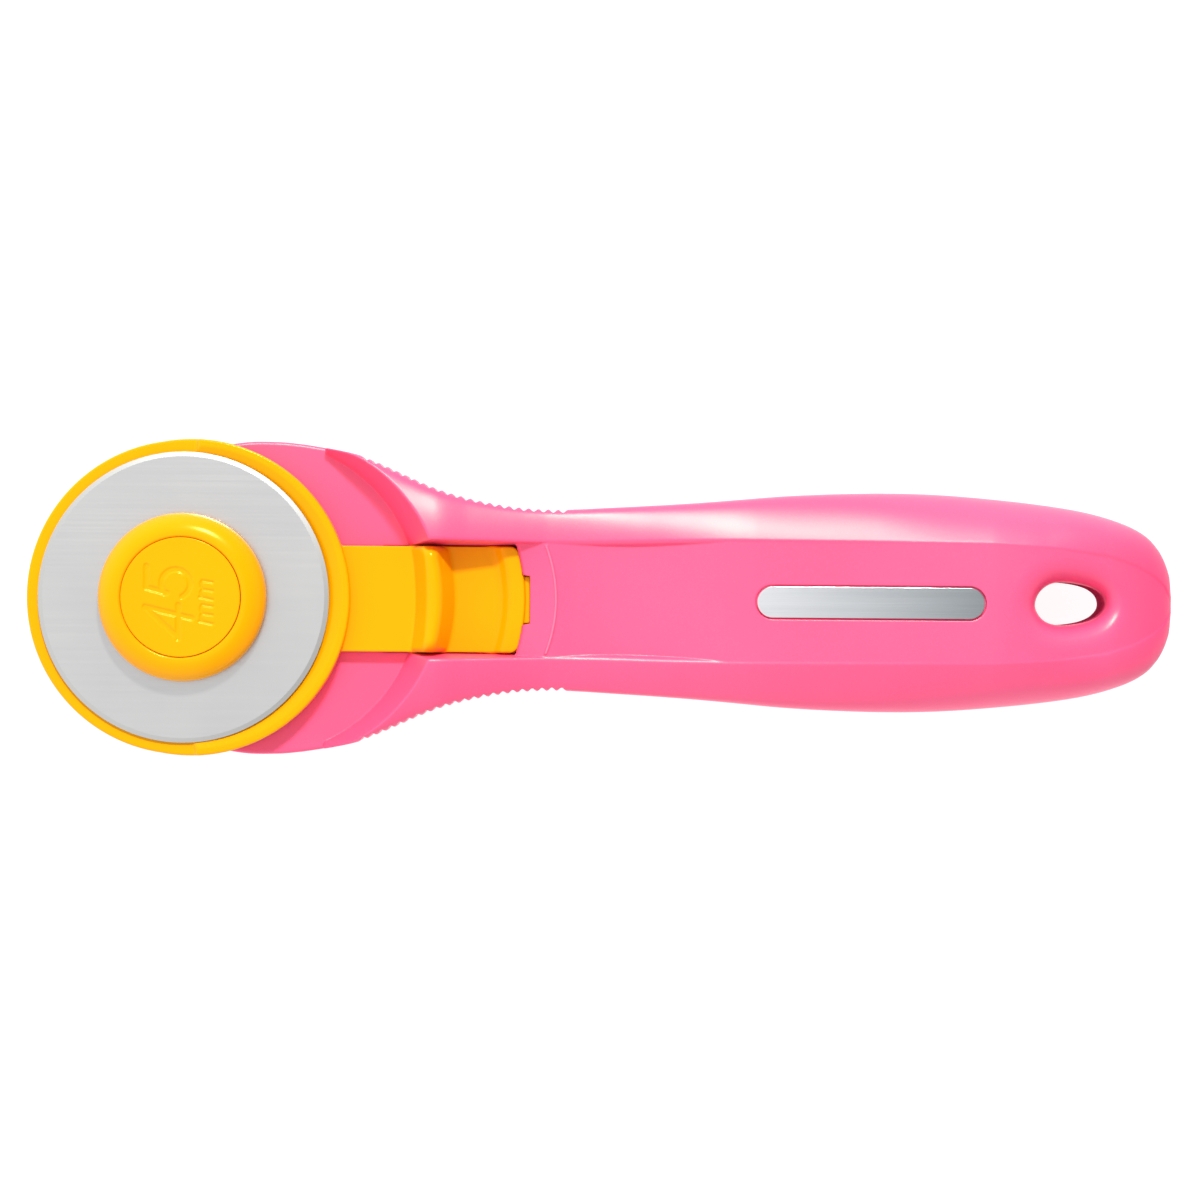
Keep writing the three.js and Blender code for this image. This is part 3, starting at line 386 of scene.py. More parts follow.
def ribbed_outline(xs, ys, zs):
    """The outline with the finger ribs waving into it, for each height."""
    xf = np.arange(-60, 100, 0.02)
    w = half_w(xf)
    arc = np.concatenate([[0], np.cumsum(np.hypot(np.diff(xf), np.diff(w)))])
    arc -= np.interp(RIB_X[0], xf, arc)
    end = np.interp(RIB_X[1], xf, arc)
    n = round(end / RIB_PITCH)
    ph = arc / (end / n)
    tri = 1 - np.abs(2 * (ph - np.floor(ph)) - 1)
    wave = 0.45 * tri + 0.55 * (0.5 - 0.5 * np.cos(np.pi * tri))
    wave = np.where((ph > 0) & (ph < n), wave, 0)
    depth = np.interp(xs, xf, wave)[:, None] * RIB_DEPTH
    fade = smoothstep(2.6, 4.2, zs)
    X, Y = xs[:, None].astype(float), ys[None, :].astype(float)
    plain = (Y - half_w(X))
    waved = plain + depth
    g = np.gradient(waved, xs, axis=0)
    c = 1 / np.sqrt(1 + g * g)
    out = (plain[:, :, None] + (depth * 1.0)[:, :, None] * fade[None, None, :]) * c[:, :, None]
    return np.where(((X > RIB_X[0] - 0.1) & (X < RIB_X[1] + 0.1))[:, :, None], out, -9).astype(F32)


def hole_distance(xs, ys):
    """Distance in plan from the hanging hole, negative inside it."""
    pts = np.array(HOLE)
    n = len(pts)
    fine = []
    for i in range(n):
        p0, p1, p2, p3 = pts[i - 1], pts[i], pts[(i + 1) % n], pts[(i + 2) % n]
        for t in np.linspace(0, 1, 10, endpoint=False):
            fine.append(0.5 * ((2 * p1) + (p2 - p0) * t + (2 * p0 - 5 * p1 + 4 * p2 - p3) * t * t
                               + (3 * p1 - p0 - 3 * p2 + p3) * t ** 3))
    a = np.array(fine)
    # ease the outline a little, so that it runs as one curve
    for _ in range(12):
        a = 0.5 * a + 0.25 * (np.roll(a, 1, 0) + np.roll(a, -1, 0))
    b = np.roll(a, -1, 0)
    X, Y = np.meshgrid(xs.astype(float), ys.astype(float), indexing="ij")
    p = np.stack([X, Y], -1)
    best = np.full(X.shape, 1e9)
    inside = np.zeros(X.shape, bool)
    for i in range(len(a)):
        e = b[i] - a[i]
        v = p - a[i]
        t = np.clip((v @ e) / (e @ e), 0, 1)
        best = np.minimum(best, ((v - t[..., None] * e) ** 2).sum(-1))
        if e[1] != 0:
            crosses = (a[i][1] > Y) != (b[i][1] > Y)
            inside ^= crosses & (X < (b[i][0] - a[i][0]) * (Y - a[i][1]) / e[1] + a[i][0])
    d = np.sqrt(best)
    return np.where(inside, -d, d)


def screw_seat(x):
    return max(float(back_z(x)), 0) + 3.0


def cylinder(X, Y, x, y, r):
    return np.hypot(X - x, Y - abs(y)) - r


GRIP_X = spaced(-77.9, (-46.0, 0.34), (-44.0, 0.2), (-8.9, 0.19), (-6.6, 0.1), (-4.0, 0.19), (0.0, 0.3), (22.5, 0.45), (28.0, 0.22), (54.6, 0.7),
                (60.5, 0.22), (65.0, 0.35), (81.0, 0.26), (89.4, 0.19))
GRIP_Y = spaced(0.0, (2.2, 0.31), (3.3, 0.14), (7.6, 0.28), (9.9, 0.16), (13.6, 0.25), (24.9, 0.21))


def front_shell():
    xs, ys, zs = GRIP_X, GRIP_Y, spaced(9.7, (21.3, 0.18))
    X, Y, Z = xs[:, None, None], ys[None, :, None], zs[None, None, :]
    w = half_w(X).astype(F32)
    zt = top_z(X).astype(F32)
    yc = np.minimum(crease(X), 0.72 * w).astype(F32)
    p, a, c = square(X).astype(F32), tilt(X).astype(F32), crown(X).astype(F32)
    t = np.clip((Y - yc) / (w - yc), 0, None)
    s = np.clip(1 - ((zt - Z) / (zt - F32(PART_Z)) - a * t - c * t * t) / (1 - a - c), 0, None)
    F = (t ** p + s ** p) ** (1 / p) - 1
    body = distance(F, xs, ys, zs)
    skin = body
    body = both(body, X - F32(88.95), 0.4)
    plan = plan_outline(xs, ys)[:, :, None].astype(F32)
    # ribs on the flanks
    k = (xs > RIB_X[0] - 1) & (xs < RIB_X[1] + 1)
    body[k] = np.maximum(body[k], ribbed_outline(xs[k], ys, zs))
    # the head's plate, and the step up to the grip
    cone = (np.hypot(X - F32(RECESS_X), Y) - (RECESS_R + (Z - F32(PLATE_Z)) * RECESS_DRAFT)) * F32(0.9205)
    body = both(body, F32(-43.05) - X, 0.12)
    body = both(body, -np.maximum(cone, F32(PLATE_Z) - Z), 0.32)
    head = both(np.maximum(plan, X + F32(37.5)), Z - F32(PLATE_Z), 0.5)
    f = np.minimum(body, head)
    # thumb hollow
    floor = zt - hollow_z(X).astype(F32)
    wall = (Y - (yc - 0.1 - (zt - Z) * 0.5)) * F32(0.894)
    f = both(f, -np.maximum(wall, floor - Z), 0.55)
    # slot, roof and ramp
    k = xs < 6
    Xk = X[k]
    lean = (Y - (SLOT_HALF + (Z - F32(SADDLE_Z)) * SLOT_DRAFT)) * F32(0.9934)
    edge = ROOF_EDGE_X - 0.25 - sag(Y, 28.0).astype(F32)
    l1 = (ROOF_Z + (Xk - edge + 0.6) * 0.7 - Z) * F32(0.819)
    l2 = (16.62 + (Xk - edge) * 0.29 - Z) * F32(0.9604)
    ramp = np.maximum(lean, np.minimum(l1, l2))
    slot = np.maximum(np.maximum(lean, F32(PLATE_Z) - Z), Xk - (edge - 0.6))
    slot = np.maximum(slot, F32(-46) - Xk)
    channel = np.maximum(np.maximum(Y - F32(SLOT_HALF), np.maximum(F32(PLATE_Z) - Z, Z - F32(ROOF_Z))),
                         np.maximum(Xk - F32(CHANNEL_END_X), -14 - Xk))
    notch = np.maximum(np.maximum(Y - F32(3.7), Xk - F32(TAB_END_X - 0.05)), np.maximum(F32(PLATE_Z) - Z, -14 - Xk))
    ramp = np.maximum(ramp, F32(-34) - Xk)
    g = both(f[k], -np.minimum(ramp, slot), 0.12)
    f[k] = np.maximum(g, -np.minimum(channel, notch))
    # fine bead along the crest of the ramp
    xc = (-7.02 - 1.52 * (Y / 8.2) ** 2).astype(F32)
    bead = np.maximum(np.hypot(Xk - xc, Z - (zt[k] - 0.13)) - F32(0.2), Y - F32(8.4))
    f[k] = np.minimum(f[k], bead)
    # the boss that carries the blade
    f = np.minimum(f, both(cylinder(X, Y, BLADE_X, 0, BOSS_R), np.maximum(Z - F32(BOSS_Z), 11 - Z), 0.3))
    # inside: a hollow through the grip, a thin one in the head
    spine = np.maximum(Y - F32(10.7), np.maximum(-34 - X, X - 6))
    inner = np.maximum(skin + F32(WALL), -40 - X)
    inner = np.maximum(inner, np.where(Z > 10.5, F32(WALL) - cone, F32(-9)))
    inner = np.maximum(inner, X - F32(83))
    thin = np.maximum(np.hypot(X - F32(HEAD_X), Y) - F32(21.9), Z - F32(10.5))
    inner = np.minimum(inner, thin)
    inner = both(inner, -spine, 0.3)
    inner = np.maximum(inner, BOSS_R - np.hypot(X - F32(BLADE_X), Y))
    for _, sx, sy in SCREWS:
        inner = both(inner, -cylinder(X, Y, sx, sy, F32(3.4)), 0.3)
    f, fy = full(f, ys)
    inner, _ = full(inner, ys)
    hole = hole_distance(xs[xs > 56], fy)[:, :, None].astype(F32)
    h = xs > 56
    inner[h] = both(inner[h], F32(WALL + 2.6) - hole, 0.3)
    f = np.maximum(f, -inner)
    Yf = fy[None, :, None]
    for _, sx, sy in SCREWS:
        tip = screw_seat(sx) + SCREW_L + 0.6
        f = np.maximum(f, -np.maximum(np.hypot(X - F32(sx), Yf - F32(sy)) - F32(SCREW_SHANK_R + 0.3), Z - F32(tip)))
    f = np.maximum(f, -(np.hypot(X - F32(BLADE_X), Yf) - F32(PIN_R + 0.1)))
    f = np.maximum(f, -np.maximum(np.maximum(np.abs(Yf) - F32(2.9), np.abs(X + F32(16.3)) - F32(8.9)),
                                  np.maximum(F32(11.6) - Z, Z - F32(PLATE_Z + 0.1))))
    # pocket of the name plate
    pocket = np.maximum(stadium(X, Yf, PLATE_CX, PLATE_L + 0.3, PLATE_W + 0.3), F32(PANEL_Z - 0.75) - Z)
    f = both(f, -pocket.astype(F32), 0.12)
    # hanging hole with its flared mouth
    f[h] = cut(f[h], hole + 0 * Z, HOLE_FLARE)
    f = both(f, PART_Z + PART_GAP - Z, 0.14)
    return Field(f, xs, fy, zs)


def back_shell():
    xs, ys, zs = GRIP_X, GRIP_Y, spaced(-0.4, (3.0, 0.2), (10.3, 0.26))
    X, Y, Z = xs[:, None, None], ys[None, :, None], zs[None, None, :]
    w = half_w(X).astype(F32)
    zb = back_z(X).astype(F32)
    yb = np.minimum(7, 0.5 * w)
    pb = F32(2.5)
    c = np.clip((Y - yb) / (w - yb), 0, None)
    d = np.clip((PART_Z - Z) / (PART_Z - zb), 0, None)
    F = (c ** pb + d ** pb) ** (1 / pb) - 1
    body = distance(F, xs, ys, zs)
    body = both(body, X - F32(88.95), 0.4)
    body = both(body, F32(-46) - X, 0.2)
    skin = body
    k = (xs > RIB_X[0] - 1) & (xs < RIB_X[1] + 1)
    body = body.copy()
    body[k] = np.maximum(body[k], ribbed_outline(xs[k], ys, zs))
    plan = plan_outline(xs, ys)[:, :, None].astype(F32)
    head = both(np.maximum(plan, X + F32(37.5)), F32(HEAD_BACK_Z) - Z, 0.8)
    f = np.minimum(body, head)
    inner = np.maximum(np.maximum(skin + F32(WALL), -40 - X), X - F32(83))
    thin = np.maximum(np.hypot(X - F32(HEAD_X), Y) - F32(21.9), F32(HEAD_BACK_Z + WALL) - Z)
    inner = np.minimum(inner, thin)
    for _, sx, sy in SCREWS:
        inner = both(inner, -cylinder(X, Y, sx, sy, F32(4.3)), 0.3)
    f, fy = full(f, ys)
    inner, _ = full(inner, ys)
    h = xs > 56
    hole = hole_distance(xs[h], fy)[:, :, None].astype(F32)
    inner[h] = both(inner[h], F32(WALL + 2.6) - hole, 0.3)
    f = np.maximum(f, -inner)
    Yf = fy[None, :, None]
    for _, sx, sy in SCREWS:
        seat = screw_seat(sx) + SCREW_HEAD_T
        r = np.hypot(X - F32(sx), Yf - F32(sy))
        f = both(f, -np.maximum(r - F32(SCREW_HEAD_R + 0.35), Z - F32(seat)), 0.25)
        f = np.maximum(f, -(r - F32(SCREW_SHANK_R + 0.35)))
    f = both(f, -(np.hypot(X - F32(BLADE_X), Yf) - F32(PIN_R + 0.1)), 0.3)
    f[h] = cut(f[h], hole + 0 * Z, HOLE_FLARE_BACK)
    f = both(f, Z - F32(PART_Z - PART_GAP), 0.14)
    return Field(f, xs, fy, zs)


# ---------------------------------------------------------------- blade guard
def guard():
    xs = spaced(-89.4, (-86.0, 0.2), (-42.0, 0.26), (-10.4, 0.14), (-6.6, 0.22))
    ys = spaced(0.0, (7.2, 0.22), (8.6, 0.1), (24.9, 0.24))
    zs = spaced(12.7, (13.3, 0.15), (14.2, 0.2), (17.0, 0.12), (19.7, 0.17))
    X, Y, Z = xs[:, None, None], ys[None, :, None], zs[None, None, :]
    r1 = np.hypot(X - F32(BLADE_X), Y)
    x2 = BLADE_X + GUARD_DX
    r2 = np.hypot(X - F32(x2), Y)
    plan = np.minimum(r1 - GUARD_R1, r2 - GUARD_R2).astype(F32)
    # flat edge band all round, and a rim that rises on the rear half, with a sloping inner side
    ang = np.arctan2(Y, X - x2)
    rise = 1 - smoothstep(1.515, 1.565, ang)
    band = both(plan, Z - F32(GUARD_EDGE_Z), 0.3)
    slope = (Z - 16.6 - (r2 - 23.42) * 0.46) * F32(0.9085)
    top = GUARD_EDGE_Z - 0.25 + (GUARD_RIM_Z - GUARD_EDGE_Z + 0.25) * rise
    rim = both(both(plan, Z - top.astype(F32), 0.3), slope, 0.04)
    rim = np.maximum(rim, (1.58 - ang) * -24.0)
    pan = both(r1 - (20.4 + (Z - GUARD_PLATE_Z) * 0.3), GUARD_PLATE_Z - Z, 0.02)
    # behind the blade the slope of the rim runs on down into the pan
    behind = both(-slope, (ang - 1.5) * 24.0, 0.3)
    behind = both(behind, GUARD_PLATE_Z - Z, 0.02)
    f = both(band, -pan, 0.15)
    f = both(f, -behind, 0.1)
    f = np.minimum(f, rim).astype(F32)
    f = np.minimum(f, np.maximum(plan, Z - F32(GUARD_PLATE_Z)))
    f = np.maximum(f, GUARD_Z0 - Z)
    # arm
    arm = np.maximum(Y - F32(ARM_HALF), np.maximum(-43.5 - X, X + 26))
    arm = both(arm, Z - F32(ARM_Z), 0.15)
    # saddle and lip
    zl = np.maximum(SADDLE_Z - Z, -9)
    front = X - (-15.8 - sag(Y, 26.0))
    lip_slope = ((SADDLE_Z - Z) + front * (1.35 / 1.7)) * F32(0.783)
    back = X - (-11.8 - sag(Y, 28.0))
    side = Y - F32(ARM_HALF)
    plan_tail = both(both(side, back, 1.1), -30 - X, 0.01)
    saddle = both(plan_tail, Z - F32(SADDLE_Z), 0.15)
    lip = both(both(plan_tail, Z - F32(LIP_Z), 0.3), -lip_slope, 0.35)
    tail = join(saddle, lip, 0.5)
    # thumb ridge
    s1, s2 = sag(Y, 42.0), sag(Y, 27.0)
    d_front = ((-28.9 - s1 + (Z - SADDLE_Z) * ((2.1 + 0.3 * s1) / 4.8)) - X) * F32(0.91)
    d_rear = (X - (-22.7 - s2 - (Z - SADDLE_Z) * (2.0 / 4.8))) * F32(0.923)
    top = both(Z - F32(RIDGE_Z), Y - F32(8.2), 1.9)
    ridge = both(both(d_front, top, 0.75), d_rear, 0.75)
    tab = both(np.maximum(Y - F32(3.65), np.maximum(X - F32(TAB_END_X), -13 - X)), Z - F32(TAB_Z), 0.12)
    tongue = np.maximum(np.maximum(Y - F32(8.0), Z - F32(14.3)), np.maximum(-13 - X, X + 7.0))
    f = join(f, arm, 0.25)
    rest = join(join(arm, tail, 0.15), ridge, 0.35)
    f = np.minimum(f, rest)
    f = np.minimum(f, np.minimum(tab, tongue))
    # slot for the boss
    q = np.clip(X, BLADE_X - GUARD_TRAVEL, BLADE_X)
    f = both(f, -(np.hypot(X - q, Y) - (BOSS_R + 0.35)), 0.12)
    # hollow of the ridge and the detent notches underneath
    f = np.maximum(f, -np.maximum(np.maximum(Y - F32(6.2), Z - F32(17.6)), np.abs(X + 25.8) - (1.8 - (Z - 12) * 0.125)))
    for nx in (-19.0, -19.0 - GUARD_TRAVEL):
        f = np.maximum(f, -np.maximum(np.maximum(Y - F32(2.6), Z - F32(13.4)), np.abs(X - F32(nx)) - F32(0.6)))
    f = np.maximum(f, GUARD_Z0 - Z).astype(F32)
    f, fy = full(f, ys)
    return Field(f, xs, fy, zs)


# ------------------------------------------------------------- turned pieces
def turned(name, profile, x, y, seg=192, sharp=32):
    """A closed mesh turned about an upright axis, profile of (r, z) from axis to axis or closed."""
    bm = bmesh.new()
    closed = profile[0] == profile[-1]
    pts = profile[:-1] if closed else profile
    rings = []
    for r, z in pts:
        if r < 1e-6:
            rings.append([bm.verts.new((x * MM, y * MM, z * MM))])
        else:
            rings.append([bm.verts.new(((x + r * math.cos(2 * math.pi * i / seg)) * MM,
                                        (y + r * math.sin(2 * math.pi * i / seg)) * MM, z * MM)) for i in range(seg)])
    pairs = list(zip(rings, rings[1:])) + ([(rings[-1], rings[0])] if closed else [])
    for a, b in pairs:
        for i in range(seg):
            j = (i + 1) % seg
            if len(a) == 1 and len(b) == 1:
                break
            if len(a) == 1:
                bm.faces.new((a[0], b[j], b[i]))
            elif len(b) == 1:
                bm.faces.new((a[i], a[j], b[0]))
            else:
                bm.faces.new((a[i], a[j], b[j], b[i]))
    bmesh.ops.recalc_face_normals(bm, faces=bm.faces)
    if bm.calc_volume(signed=True) < 0:
        bmesh.ops.reverse_faces(bm, faces=bm.faces)
    return finish_bm(name, bm, sharp)


def finish_bm(name, bm, sharp=32):
    lim = math.radians(sharp)
    for f in bm.faces:
        f.smooth = True
    for e in bm.edges:
        e.smooth = not (len(e.link_faces) == 2 and e.calc_face_angle(0) > lim)
    me = bpy.data.meshes.new(name)
    bm.to_mesh(me)
    bm.free()
    return me


def arc(cx, cz, r, a0, a1, n=6):
    """Points of a profile's rounded corner, angles in degrees."""
    return [(cx + r * math.cos(math.radians(a0 + (a1 - a0) * i / n)),
             cz + r * math.sin(math.radians(a0 + (a1 - a0) * i / n))) for i in range(n + 1)]


def bspline(points, n=6):
    """A smooth profile through points, Catmull-Rom with centripetal spacing."""
    p = [np.array(q, float) for q in points]
    p = [2 * p[0] - p[1]] + p + [2 * p[-1] - p[-2]]
    out = []
    for i in range(1, len(p) - 2):
        p0, p1, p2, p3 = p[i - 1:i + 3]
        t0 = 0.0
        t1 = t0 + max(np.linalg.norm(p1 - p0), 1e-6) ** 0.5
        t2 = t1 + max(np.linalg.norm(p2 - p1), 1e-6) ** 0.5
        t3 = t2 + max(np.linalg.norm(p3 - p2), 1e-6) ** 0.5
        for k in range(n):
            t = t1 + (t2 - t1) * k / n
            a1 = (t1 - t) / (t1 - t0) * p0 + (t - t0) / (t1 - t0) * p1
            a2 = (t2 - t) / (t2 - t1) * p1 + (t - t1) / (t2 - t1) * p2
            a3 = (t3 - t) / (t3 - t2) * p2 + (t - t2) / (t3 - t2) * p3
            b1 = (t2 - t) / (t2 - t0) * a1 + (t - t0) / (t2 - t0) * a2
            b2 = (t3 - t) / (t3 - t1) * a2 + (t - t1) / (t3 - t1) * a3
            out.append(tuple((t2 - t) / (t2 - t1) * b1 + (t - t1) / (t2 - t1) * b2))
    out.append(tuple(p[-2]))
    return out


# ------------------------------------------------------------------ materials
def srgb(r, g, b):
    def lin(v):
        v = v / 255
        return v / 12.92 if v <= 0.04045 else ((v + 0.055) / 1.055) ** 2.4
    return (lin(r), lin(g), lin(b), 1)


class Nodes:
    """Short hand for building a node material."""

    def __init__(self, name):
        self.mat = bpy.data.materials.new(name)
        self.mat.use_nodes = True
        self.t = self.mat.node_tree
        self.t.nodes.clear()
        self.out = self.t.nodes.new("ShaderNodeOutputMaterial")
        self.p = self.t.nodes.new("ShaderNodeBsdfPrincipled")
        self.t.links.new(self.p.outputs[0], self.out.inputs[0])
        geo = self.t.nodes.new("ShaderNodeTexCoord")
        self.pos = geo.outputs["Object"]

    def link(self, a, b):
        self.t.links.new(a, b)

    def scaled(self, sx, sy, sz, rot=(0, 0, 0), loc=(0, 0, 0), src=None):
        m = self.t.nodes.new("ShaderNodeMapping")
        m.inputs["Scale"].default_value = (sx, sy, sz)
        m.inputs["Rotation"].default_value = rot
        m.inputs["Location"].default_value = loc
        self.link(src or self.pos, m.inputs["Vector"])
        return m.outputs[0]

    def noise(self, vec, scale, detail=2.0, rough=0.5, out="Fac"):
        n = self.t.nodes.new("ShaderNodeTexNoise")
        n.inputs["Scale"].default_value = scale
        n.inputs["Detail"].default_value = detail
        n.inputs["Roughness"].default_value = rough
        self.link(vec, n.inputs["Vector"])
        return n.outputs[out]

    def ramp(self, fac, stops):
        r = self.t.nodes.new("ShaderNodeValToRGB")
        e = r.color_ramp.elements
        while len(e) > 1:
            e.remove(e[-1])
        e[0].position, e[0].color = stops[0]
        for pos, col in stops[1:]:
            n = e.new(pos)
            n.color = col
        self.link(fac, r.inputs[0])
        return r.outputs[0]

    def math(self, op, a, b=None, clamp=False):
        m = self.t.nodes.new("ShaderNodeMath")
        m.operation = op
        m.use_clamp = clamp
        for i, v in enumerate((a, b)):
            if v is None:
                continue
            if isinstance(v, (int, float)):
                m.inputs[i].default_value = v
            else:
                self.link(v, m.inputs[i])
        return m.outputs[0]

    def remap(self, v, a, b, c, d):
        m = self.t.nodes.new("ShaderNodeMapRange")
        for i, x in zip((1, 2, 3, 4), (a, b, c, d)):
            m.inputs[i].default_value = x
        self.link(v, m.inputs[0])
        return m.outputs[0]

    def mix(self, fac, a, b, blend="MIX"):
        m = self.t.nodes.new("ShaderNodeMix")
        m.data_type = "RGBA"
        m.blend_type = blend
        for i, v in ((0, fac), (6, a), (7, b)):
            if isinstance(v, (int, float, tuple)):
                m.inputs[i].default_value = v
            else:
                self.link(v, m.inputs[i])
        return m.outputs[2]

    def bump(self, height, strength, distance, normal=None):
        b = self.t.nodes.new("ShaderNodeBump")
        b.inputs["Strength"].default_value = strength
        b.inputs["Distance"].default_value = distance
        self.link(height, b.inputs["Height"])
        if normal is not None:
            self.link(normal, b.inputs["Normal"])
        return b.outputs[0]

    def set(self, **kw):
        for k, v in kw.items():
            s = self.p.inputs[k.replace("_", " ")]
            if hasattr(v, "is_output"):
                self.link(v, s)
            else:
                s.default_value = v


def pink_plastic():
    n = Nodes("grip_pink_plastic")
    fine = n.noise(n.pos, 5200, 2.0, 0.6)
    mid = n.noise(n.pos, 1700, 2.0, 0.5)
    broad = n.noise(n.pos, 38, 3.0, 0.5)
    col = n.ramp(broad, [(0.3, srgb(254, 82, 131)), (0.7, srgb(255, 87, 136))])
    speck = n.remap(fine, 0.45, 0.8, 0.0, 1.0)
    col = n.mix(n.math("MULTIPLY", speck, 0.12, True), col, srgb(255, 140, 178))
    rough = n.remap(fine, 0.3, 0.7, 0.34, 0.39)
    h = n.math("ADD", n.math("MULTIPLY", fine, 0.92), n.math("MULTIPLY", mid, 0.08))
    # painted shade: the base colour is darkened in the neck of the hanging hole, where shade falls; the same mask turns
    # the specular down there
    sep = n.t.nodes.new("ShaderNodeSeparateXYZ")
    n.link(n.scaled(1 / 0.0072, 1 / 0.0049, 1, loc=(-0.0725 / 0.0072, 0, 0)), sep.inputs[0])
    x, y = sep.outputs[0], sep.outputs[1]
    near = n.math("SQRT", n.math("ADD", n.math("MULTIPLY", x, x), n.math("MULTIPLY", y, y)))
    inside = n.math("MULTIPLY", n.remap(near, 0.85, 1.2, 1.0, 0.0), n.remap(sep.outputs[2], 0.0150, 0.0128, 0.0, 1.0), True)
    col = n.mix(n.math("MULTIPLY", inside, 0.85), col, srgb(182, 62, 102))
    # painted shade: darker towards the end of the tail, where the surfaces turn away from the light; painted highlight:
    # a paler line along the fine bead of the ramp
    sep = n.t.nodes.new("ShaderNodeSeparateXYZ")
    n.link(n.pos, sep.inputs[0])
    x, y, z = sep.outputs
    col = n.mix(n.remap(x, 0.0785, 0.0888, 0.0, 0.75), col, srgb(240, 58, 112))
    # painted highlight: the pale colour on the ramp's bead stands in for the light line it catches
    yy = n.math("MULTIPLY", y, y)
    off = n.math("ADD", n.math("ADD", x, 0.00702), n.math("MULTIPLY", yy, 22.6))
    bead = n.remap(n.math("ABSOLUTE", off), 0.0001, 0.0002, 0.32, 0.0)
    bead = n.math("MULTIPLY", bead, n.remap(yy, 0.0000672, 0.0000690, 1.0, 0.0))
    col = n.mix(n.math("MULTIPLY", bead, n.remap(z, 0.0172, 0.0174, 0.0, 1.0)), col, srgb(255, 160, 190))
    n.set(Base_Color=col, Roughness=rough, IOR=1.5, Normal=n.bump(h, 0.6, 0.000022))
    n.set(Specular_IOR_Level=n.remap(inside, 0.0, 0.6, 0.5, 0.0))
    return n.mat


def yellow_plastic(name="guard_yellow_plastic"):
    n = Nodes(name)
    fine = n.noise(n.pos, 2400, 2.0, 0.5)
    broad = n.noise(n.pos, 45, 3.0, 0.5)
    col = n.ramp(broad, [(0.3, srgb(255, 167, 0)), (0.7, srgb(255, 172, 0))])
    rough = n.remap(broad, 0.3, 0.7, 0.19, 0.23)
    n.set(Base_Color=col, Roughness=rough, IOR=1.48, Normal=n.bump(fine, 0.15, 0.00003))
    n.set(Specular_IOR_Level=0.5, Specular_Tint=(1.0, 0.82, 0.2, 1))
    return n.mat


def blade_steel():
    n = Nodes("blade_ground_steel")
    v = n.scaled(1, 1, 1, loc=(-BLADE_X * MM, 0, 0))
    sep = n.t.nodes.new("ShaderNodeSeparateXYZ")
    n.link(v, sep.inputs[0])
    x, y = sep.outputs[0], sep.outputs[1]
    rad = n.math("SQRT", n.math("ADD", n.math("MULTIPLY", x, x), n.math("MULTIPLY", y, y)))
    # fine ground lines across the flat, finer ones round the bevel
    lines = n.noise(n.scaled(30, 9000, 30), 1.0, 3.0, 0.6)
    ring = n.t.nodes.new("ShaderNodeTexNoise")
    ring.noise_dimensions = "1D"
    n.link(n.math("MULTIPLY", rad, 30000), ring.inputs["W"])
    ring.inputs["Scale"].default_value = 1.0
    edge = n.remap(rad, (BLADE_R - 0.74) * MM, (BLADE_R - 0.68) * MM, 0, 1)
    pattern = n.mix(edge, lines, ring.outputs[0])
    cloud = n.noise(n.pos, 60, 3, 0.5)
    flat = n.ramp(cloud, [(0.3, srgb(208, 208, 209)), (0.7, srgb(213, 213, 213))])
    col = n.mix(edge, flat, srgb(204, 204, 202))
    n.set(Base_Color=col, Metallic=1.0, Roughness=n.mix(edge, n.remap(lines, 0.3, 0.7, 0.3, 0.42), (0.42, 0.42, 0.42, 1)),
          Normal=n.bump(pattern, 0.12, 0.00001))
    return n.mat


def brushed_plate():
    n = Nodes("name_plate_brushed_metal")
    lines = n.noise(n.scaled(25, 9000, 9000), 1.0, 4.0, 0.65)
    slow = n.noise(n.scaled(30, 600, 600), 1.0, 2.0, 0.5)
    sep = n.t.nodes.new("ShaderNodeSeparateXYZ")
    n.link(n.pos, sep.inputs[0])
    # painted reflection: the plate runs from light at its left end to dark at its right, standing in for the uneven
    # surroundings it mirrors
    along = n.remap(sep.outputs[0], 0.024, 0.059, 0.0, 1.0)
    painted_reflection_tone = n.ramp(along, [(0.0, srgb(246, 247, 251)), (0.5, srgb(212, 216, 220)), (1.0, srgb(166, 173, 177))])
    streak = n.remap(n.math("ADD", n.math("MULTIPLY", lines, 0.6), n.math("MULTIPLY", slow, 0.4)), 0.3, 0.7, 0.9, 1.08)
    col = n.mix(1.0, painted_reflection_tone, streak, "MULTIPLY")
    n.set(Base_Color=col, Metallic=1.0, Roughness=n.remap(lines, 0.3, 0.7, 0.2, 0.28),
          Normal=n.bump(lines, 0.1, 0.00001))
    return n.mat


def machined(name, rgb, rough, scale=4000):
    n = Nodes(name)
    lines = n.noise(n.scaled(60, 60, scale), 1.0, 3.0, 0.6)
    cloud = n.noise(n.pos, 220, 3.0, 0.55)
    dark = tuple(c * 0.88 for c in rgb)
    col = n.ramp(cloud, [(0.3, srgb(*dark)), (0.7, srgb(*rgb))])
    n.set(Base_Color=col, Metallic=1.0, Roughness=n.remap(cloud, 0.3, 0.7, rough * 0.85, rough * 1.2),
          Normal=n.bump(lines, 0.15, 0.00001))
    return n.mat


PINK = pink_plastic()
YELLOW = yellow_plastic()
CAP_YELLOW = yellow_plastic("cap_yellow_plastic")
BLADE = blade_steel()
BRUSHED = brushed_plate()
ZINC = machined("pin_zinc_plated", (196, 198, 200), 0.3)
WIRE = machined("spring_wire_steel", (168, 170, 174), 0.33, 900)

# ---------------------------------------------------------------------- build
ob = moulded("front_shell", front_shell(), 190000, PINK, "handle", "handle_front_shell")
ob = moulded("back_shell", back_shell(), 120000, PINK, "handle", "handle_back_shell")
ob = moulded("sliding_guard", guard(), 150000, YELLOW, "guard", "blade_guard")

